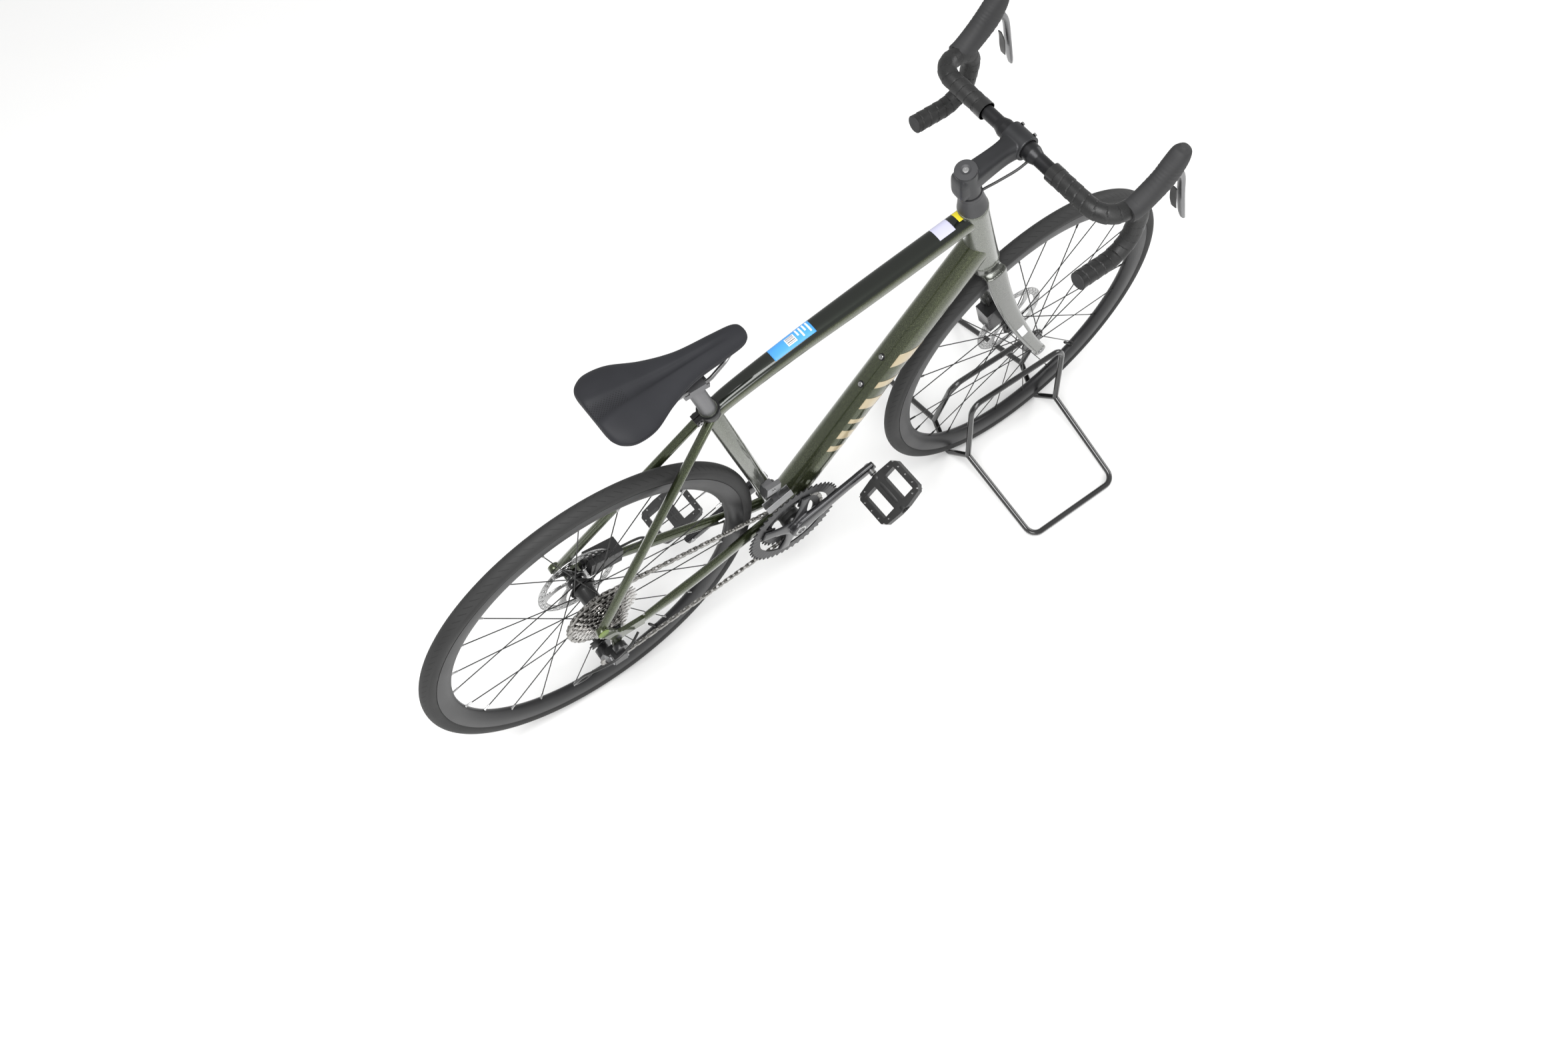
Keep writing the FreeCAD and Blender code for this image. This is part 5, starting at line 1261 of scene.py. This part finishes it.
# %% [markdown]
# ## Gears
# A toothed wheel is a ring whose outer radius rises and falls with the angle. The share of a
# tooth that an angle has passed gives a tip, a slope and a round-bottomed gap for the roller.

# %% Toothed rings
PITCH = 12.7


def gear(count, centre, inner, half_thick, phase=0.0, samples=8, tip=4.2, root=3.6):
    """Closed ring with 'count' teeth about the Y axis; phase turns a gap to that angle, in radians.

    Pitch radius = pitch / (2 sin(pi / count)); s is 0 in a gap's middle and 1 at a tooth's tip.
    """
    pitch_radius = PITCH / (2 * math.sin(math.pi / count))
    angles = np.linspace(0, 2 * np.pi, count * samples, endpoint=False)
    s = np.abs(((angles - phase) * count / (2 * np.pi) + 0.5) % 1 - 0.5) * 2
    rise = np.clip((s - 0.38) / 0.42, 0, 1)
    outer = pitch_radius - root + (tip + root) * rise ** 0.8
    thin = half_thick * (1 - 0.45 * rise)
    inside = np.full_like(outer, inner)
    radii = np.stack([inside, inside, outer - 2.0, outer, outer, outer - 2.0])
    level = np.stack([-half_thick + 0 * s, half_thick + 0 * s, half_thick + 0 * s, thin, -thin,
                      -half_thick + 0 * s])
    ring = np.stack([np.cos(angles), np.zeros_like(angles), np.sin(angles)], axis=-1)
    grid = centre + radii[..., None] * ring * MM + level[..., None] * Y_AXIS * MM
    return shell(grid, wrap_rows=True)


print("gear helper ready")

# %% The line that the chain follows
GUIDE, TENSION = joint_place("guide_pulley_spin"), joint_place("tension_pulley_spin")
BIG_RADIUS, PULLEY_RADIUS = 68.82 * MM, 22.54 * MM
CHAIN_REAR_Y, CHAIN_FRONT_Y = -26.0 * MM, -40.0 * MM


def flat(point):
    return np.array([point[0], point[2]])


def tangent_angles(first, second, radius_one, radius_two, way, crossing=False):
    """Angles on both circles at which an outside or a crossing tangent touches them."""
    gap = flat(second) - flat(first)
    heading = math.atan2(gap[1], gap[0])
    reach = radius_one + radius_two if crossing else radius_one - radius_two
    angle = heading + way * math.acos(reach / float(np.hypot(*gap)))
    return angle, angle + math.pi if crossing else angle


def arc(centre, radius, start, stop, way, count=60):
    """Points of an arc from start to stop, going the way of the sign."""
    sweep = (stop - start) * way % (2 * math.pi) * way
    angles = start + np.linspace(0, 1, count) * sweep
    return flat(centre) + radius * np.stack([np.cos(angles), np.sin(angles)], axis=1)


def chain_line():
    """The closed loop: ring, tension pulley, guide pulley, cog, with straight runs between."""
    cog_top, ring_top = tangent_angles(REAR_AXLE, BRACKET, BIG_RADIUS, BIG_RADIUS, 1)
    tension_low, ring_low = tangent_angles(TENSION, BRACKET, PULLEY_RADIUS, BIG_RADIUS, -1)
    tension_back, guide_front = tangent_angles(TENSION, GUIDE, PULLEY_RADIUS, PULLEY_RADIUS, 1, True)
    guide_top, cog_back = tangent_angles(GUIDE, REAR_AXLE, PULLEY_RADIUS, BIG_RADIUS, -1, True)
    return np.concatenate([arc(BRACKET, BIG_RADIUS, ring_top, ring_low, -1),
                           arc(TENSION, PULLEY_RADIUS, tension_low, tension_back, -1),
                           arc(GUIDE, PULLEY_RADIUS, guide_front, guide_top, 1),
                           arc(REAR_AXLE, BIG_RADIUS, cog_back, cog_top, -1)])


print("chain loop points", len(chain_line()))


# %% Pins at even steps
def pins_along(line):
    """Pin places at even steps of very nearly one pitch round the closed line."""
    closed = np.vstack([line, line[:1]])
    distance = np.concatenate([[0], np.cumsum(np.linalg.norm(np.diff(closed, axis=0), axis=1))])
    count = 2 * round(distance[-1] / (2 * PITCH * MM))
    steps = np.linspace(0, distance[-1], count, endpoint=False)
    x, z = (np.interp(steps, distance, closed[:, column]) for column in (0, 1))
    share = (x - REAR_AXLE[0]) / (BRACKET[0] - REAR_AXLE[0])
    y = CHAIN_REAR_Y + (CHAIN_FRONT_Y - CHAIN_REAR_Y) * np.clip(share, 0, 1)
    return np.stack([x, y, z], axis=1)


PINS = pins_along(chain_line())
print("chain links", len(PINS))


def gap_phase(centre):
    """Angle of the pin nearest a wheel: the wheel is turned so that a gap stands there."""
    offset = PINS - centre
    nearest = offset[np.argmin(np.abs(np.hypot(offset[:, 0], offset[:, 2]) - BIG_RADIUS)
                               + 0.2 * np.abs(offset[:, 2]))]
    return math.atan2(nearest[2], nearest[0])


# %% [markdown]
# ## Chain
# Each link joins two pins. Inner and outer links take turns, so there are four small shells: a
# pair of inner plates, a pair of outer plates, a roller and a pin. Each is made once at the origin
# and then repeated along the line by one array product.

# %% Chain links
def plate(half_length, round_radius, waist, low, high):
    """A dog-bone plate, flat to Y: two round ends and a narrower middle."""
    turn = np.radians([-115, -70, -25, 25, 70, 115])
    right = np.stack([half_length + round_radius * np.cos(turn), round_radius * np.sin(turn)], axis=1)
    outline = np.vstack([right, [[0, waist]], -right, [[0, -waist]]])
    rows = [np.stack([outline[:, 0] * share, np.full(len(outline), y), outline[:, 1] * share], axis=1)
            for share, y in ((0.93, low), (1.0, low + 0.15), (1.0, high - 0.15), (0.93, high))]
    return shell(capped(np.stack(rows) * MM))


def chain_shell():
    following = np.roll(PINS, -1, axis=0)
    run = unit(following - PINS)
    up = unit(np.cross(run, Y_AXIS))
    turns = np.stack([run, np.cross(up, run), up], axis=2)
    links = placed(turns, (PINS + following) / 2)
    at_pins = placed(turns, PINS)
    inner = joined([plate(6.35, 4.2, 3.0, low, low + 0.9) for low in (1.35, -2.25)])
    outer = joined([plate(6.35, 4.1, 2.9, low, low + 0.85) for low in (2.3, -3.15)])
    roller = turned([(3.8, -1.3), (3.8, 1.3)], np.zeros(3), columns=8)
    pin = turned([(1.5, -3.3), (1.9, -3.2), (1.9, 3.2), (1.5, 3.3)], np.zeros(3), columns=6)
    return joined([repeated(inner, links[::2]), repeated(outer, links[1::2]), repeated(roller, at_pins),
                   repeated(pin, at_pins)])


make("chain_links", chain_shell(), "frame", "chain_steel", ["chain"])

# %% [markdown]
# ## Cassette and chainrings
# Ten cogs share one body. The largest stands next to the spokes, and a lock ring holds the
# smallest.

# %% Cassette
COGS, COG_STEP = (34, 30, 26, 23, 21, 19, 17, 15, 13, 11), 3.95


def cassette_shell():
    phase = gap_phase(REAR_AXLE)
    parts = []
    for index, count in enumerate(COGS):
        centre = REAR_AXLE + Y_AXIS * (-26.0 - COG_STEP * index) * MM
        pitch_radius = PITCH / (2 * math.sin(math.pi / count))
        parts.append(gear(count, centre, min(17.6, pitch_radius - 8), 0.85, phase + 0.4 * index))
        parts.append(turned([(17.6, -0.8), (19.4, -0.8), (19.4, -3.1), (17.6, -3.1)], centre, columns=36,
                            closed=True))
        if count > 25:
            dimple_ring = [(pitch_radius - 9, 1.2), (pitch_radius - 7.5, 1.2), (pitch_radius - 7.5, -1.2),
                           (pitch_radius - 9, -1.2)]
            parts.append(turned(dimple_ring, centre, columns=48, closed=True))
    return joined(parts)


make("cassette_cogs", cassette_shell(), "rear_wheel", "cassette_steel", ["cassette"])
end_face = REAR_AXLE - Y_AXIS * 63.2 * MM
lock_profile = [(12.2, 0), (16.5, 0), (16.5, -1.2), (14.2, -2.6), (12.2, -2.6)]
make("cassette_lock_ring", turned(lock_profile, end_face, columns=36, closed=True), "rear_wheel",
     "bolt_steel")

# %% Chainrings with their four bolts
RING_TURNS = np.radians(-27.5 + 45 + 90 * np.arange(4))
RING_Y = {"outer": -48.1, "inner": -40.0}


def radial(angle):
    """Unit vector at an angle that grows from +X towards -Z, as a turn about +Y does."""
    return np.array([math.cos(angle), 0, -math.sin(angle)])


outer_ring = gear(50, BRACKET + Y_AXIS * RING_Y["outer"] * MM, 80.0, 1.35, 0.02, tip=3.4)
inner_ring = gear(34, BRACKET + Y_AXIS * RING_Y["inner"] * MM, 51.0, 1.3, gap_phase(BRACKET))
tabs = [pebble(BRACKET + radial(angle) * 66 * MM + Y_AXIS * RING_Y["outer"] * MM, (18, 1.3, 12),
               np.stack([radial(angle), Y_AXIS, np.cross(radial(angle), Y_AXIS)], axis=1), power=4)
        for angle in RING_TURNS]
spacers = [turned([(5.2, -46.9), (5.2, -41.2)], BRACKET + radial(angle) * 55 * MM, columns=16)
           for angle in RING_TURNS]
make("chainring_teeth", joined([outer_ring, inner_ring] + tabs + spacers), "crank", "ring_alloy",
     ["chainrings"])
screws("chainring_bolts",
       [(BRACKET + radial(angle) * 55 * MM - Y_AXIS * 53.6 * MM, -Y_AXIS) for angle in RING_TURNS],
       5.2, 1.2, "crank", "bolt_steel")

# %% [markdown]
# ## Cranks
# A cold-forged crank has soft corners everywhere. Its arm, bosses and spider are laid down as
# overlapping shells, and a voxel skin followed by smoothing melts them into one forging.

# %% Crank arms
CRANK_WAY = unit(joint_place("pedal_right_spin") * [1, 0, 1] - BRACKET * [1, 0, 1])
CRANK_LENGTH = 171.5


def crank_shells(side):
    """Arm with a wide root and a rounded eye for the pedal; the right one has four spider arms."""
    way = CRANK_WAY * -side
    share = np.linspace(0, 1, 24)
    reach = (-13 + share * (CRANK_LENGTH + 25)) * MM
    level = side * (62 + 11.5 * share ** 1.3) * MM
    line = BRACKET + reach[:, None] * way + level[:, None] * Y_AXIS
    half_wide = through([17, 19.5, 17, 14.5, 13, 12.4, 12.2, 12.6, 11], share)[:, 0] * MM
    half_thick = through([7, 8.6, 8.2, 7.6, 7.2, 7, 6.9, 7, 6], share)[:, 0] * MM
    parts = [shell(capped(loft(line, half_thick, half_wide, power=3.2)))]
    parts.append(turned([(17, side * 55.5), (19, side * 57), (19, side * 69), (17, side * 70.8)], BRACKET,
                        columns=48))
    if side > 0:
        return parts
    for angle in RING_TURNS:
        out = radial(angle)
        spread_out = np.linspace(0, 1, 12)
        spine = (BRACKET + (14 + 64 * spread_out)[:, None] * out * MM
                 - (56.5 - 5.0 * spread_out)[:, None] * Y_AXIS * MM)
        width = through([19, 15, 11.5, 11, 12.5], spread_out)[:, 0] * MM
        parts.append(shell(capped(loft(spine, 3.0 * MM, width, power=3.0))))
    return parts


print("crank length", CRANK_LENGTH, "mm")

# %% Arms, spindle, pedal ends and bearing cups
for label, side in SIDES.items():
    arm = make(f"crank_arm_{label}", joined(crank_shells(side)), "crank", "crank_alloy",
               [f"crank_{label}"])
    cast(arm, 1.3, 6)
spindle = turned([(11.9, -57), (11.9, 66)], BRACKET, columns=36)
end_rings = [turned([(8, -71.8), (9.5, -71.8), (11.8, -71.3), (11.8, -66), (8, -66)], BRACKET, columns=36,
                    closed=True),
             turned([(10.5, 66), (10.5, 73), (9.6, 74), (4, 74), (4, 72), (0.5, 72)], BRACKET, columns=36)]
pedal_axles = []
for label, side in SIDES.items():
    tip = joint_place(f"pedal_{label}_spin") * [1, 0, 1]
    pedal_axles.append(turned([(6.8, side * 80), (6.8, side * 88), (5, side * 89), (5, side * 168),
                               (4, side * 169)],
                              tip, columns=24))
    pedal_axles.append(turned([(4, side * 64.5), (5.6, side * 64.5), (6.2, side * 65.3), (6.2, side * 82)],
                              tip, columns=24))
make("crank_spindle", joined([spindle] + end_rings + pedal_axles), "crank", "bolt_steel")
left_way = -CRANK_WAY
pinch = BRACKET + left_way * 19 * MM + Y_AXIS * 63 * MM
screws("crank_pinch_bolts", [(pinch + Y_AXIS * offset * MM + np.cross(left_way, Y_AXIS) * 11 * MM,
                              np.cross(left_way, Y_AXIS)) for offset in (-4.2, 4.2)], 3.4, 3.0, "crank")
cups = [turned([(12.6, sign * 34), (21.2, sign * 34), (22.0, sign * 36), (22.0, sign * 43), (19.0, sign * 45),
                (12.6, sign * 45)], BRACKET, columns=48, closed=True) for sign in (1, -1)]
make("bearing_cups", joined(cups), "frame", "bracket_alloy")

# %% [markdown]
# ## Pedals
# The CAD pedal frames keep their shape and get a small bevel later. On them stand rows of steel
# grip pins, and a barrel with collars runs between the two windows.

# %% Pedal pins and barrels
PEDAL_TILT = {"right": -41.0, "left": -20.0}
PIN_SPOTS = ([(x, y) for x in (-46, -33, 33, 46) for y in (-35, 35)]
             + [(x, y) for x in (-47, 47) for y in (-20, 0, 20)])


def pedal_pins(label):
    """A threaded pin at each spot, on the upper and on the lower face."""
    centre, turn = joint_place(f"pedal_{label}_spin"), turn_y(PEDAL_TILT[label])
    one = turned([(1.7, 8.0), (1.7, 10.6), (1.2, 11.2), (1.2, 12.4), (0.9, 12.6)], np.zeros(3), Z_AXIS,
                 columns=8)
    spots = np.array(PIN_SPOTS, dtype=float)
    local = np.column_stack([spots, np.zeros(len(spots))]) * MM
    flipped = np.diag([1.0, -1.0, -1.0])
    upper = placed(np.repeat((turn @ np.eye(3))[None], len(spots), axis=0), centre + local @ turn.T)
    lower = placed(np.repeat((turn @ flipped)[None], len(spots), axis=0), centre + local @ turn.T)
    return repeated(one, np.concatenate([upper, lower]))


def pedal_barrel(label, side):
    """Barrel between the windows: waists at both ends."""
    centre = joint_place(f"pedal_{label}_spin")
    profile = [(5.3, -45), (8.4, -45), (9.6, -43), (9.6, -36), (8.0, -33), (9.2, -20), (9.4, 0), (9.2, 20),
               (8.0, 33), (9.6, 36), (9.6, 42), (8.0, 44), (5.3, 44)]
    return turned([(radius, side * height) for radius, height in profile], centre, columns=32, closed=True)


for label, side in SIDES.items():
    make(f"pedal_pins_{label}", pedal_pins(label), f"pedal_{label}", "bolt_steel")
    make(f"pedal_barrel_{label}", pedal_barrel(label, side), f"pedal_{label}", "pedal_black")

# %% [markdown]
# ## Calipers, derailleurs and housings
# The caliper blocks keep the CAD slot for the rotor. They get piston caps, body bolts and a hose.
# Both pulleys are toothed wheels, and the housing bends between the frame and the lower knuckle.

# %% Caliper details
CALIPERS = {"front": (at(444, 40, 398), -18.8, "fork"), "rear": (at(-446, 57, 366), 101.0, "frame")}
for end, (centre, lean, body) in CALIPERS.items():
    turn = turn_y(lean)
    face = centre + Y_AXIS * 17 * MM
    cap_profile = [(11.6, -0.5), (11.8, 0.8), (11.0, 1.8), (8.2, 1.8), (7.6, 1.1), (0.6, 1.1)]
    caps = [turned(cap_profile, face + turn @ at(0, 0, height), columns=40) for height in (-9, 12)]
    ribs = [pebble(centre + turn @ at(-14.5 + 0.2 * index, 0, -24 + 9.6 * index), (3.4, 17.6, 1.6), turn, 5)
            for index in range(6)]
    make(f"{end}_caliper_caps", joined(caps + ribs), body, "caliper_black")
    screws(f"{end}_caliper_bolts", [(face + turn @ at(8, 0, height), Y_AXIS) for height in (-28, 28)], 3.8,
           2.0, body, "bolt_steel")
    screws(f"{end}_caliper_feet", [(face + turn @ at(0, 0, height), Y_AXIS) for height in (-32.5, 32.5)], 2.6,
           2.4, body, "bolt_black")
HOSES = {"front": [(436, 40, 431), (428, 41, 452), (420, 43, 476), (409, 42, 496), (398, 39, 508)],
         "rear": [(-414, 57, 360), (-398, 57, 356), (-380, 60, 346), (-362, 61, 336), (-350, 58, 326)]}
for end, route in HOSES.items():
    make(f"{end}_brake_hose", tube(route, 2.4, 12, 60), CALIPERS[end][2], "cable_black")

# %% Pulleys with teeth
for name, centre in (("guide_pulley", GUIDE), ("tension_pulley", TENSION)):
    wheel = gear(11, centre, 6.6, 1.0, 0.1, samples=12, tip=3.0, root=3.2)
    hub = turned([(6.6, -2.2), (8.4, -2.2), (8.4, 2.2), (6.6, 2.2)], centre, columns=36, closed=True)
    make(f"{name}_teeth", joined([wheel, hub]), name, "pulley_black", [name])
    print(name, np.round(centre, 4))

# %% Shift housing
HOUSING_ROUTE = [(-468, -84, 322), (-492, -97, 323), (-524, -103, 318), (-556, -95, 303), (-582, -82, 283),
                 (-596, -72, 252), (-596, -61, 222), (-584, -56, 204), (-566, -54, 198), (-552, -53, 205)]
housing = make("shift_housing_loop", tube(HOUSING_ROUTE, 2.45, 14, 120), None, "cable_black",
               ["shift_housing"])
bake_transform(housing)

# %% Derailleur details
screws("front_derailleur_bolt", [(at(-139.9, -40, 423.3), -Y_AXIS)], 3.2, 2.0, "frame",
       "bolt_steel")

# %% [markdown]
# ## The parts that keep their CAD shape
# Machined blocks, plates, stays and rods stay as they are. Each gets the finish of its material
# slot. A weld joins the triangles of the CAD mesh and a small bevel, limited to sharp edges, rounds
# the corners, so that every edge catches a thin line of light.

# %% Finishes and soft edges
OWN_FINISH = {"head_tube": "sage_paint", "seat_tube": "sage_paint"}
ROUND_RODS = ("stand_right", "stand_left", "stand_cross_rods")
NODE_SLOT = {part["node"]: part["material_slot"] for part in frame["record"]["subparts"]}
for name, item in frame["nodes"].items():
    item.data.materials.clear()
    item.data.materials.append(FINISHES[OWN_FINISH.get(name, NODE_SLOT[name])]["material"])
    if name in ROUND_RODS:
        continue
    weld = item.modifiers.new("weld", "WELD")
    weld.merge_threshold = 0.00002
    bevel = item.modifiers.new("bevel", "BEVEL")
    bevel.limit_method = "ANGLE"
    bevel.angle_limit = math.radians(35)
    bevel.width = 0.0006
    bevel.segments = 2
    bevel.harden_normals = True
print("CAD nodes finished", len(frame["nodes"]))
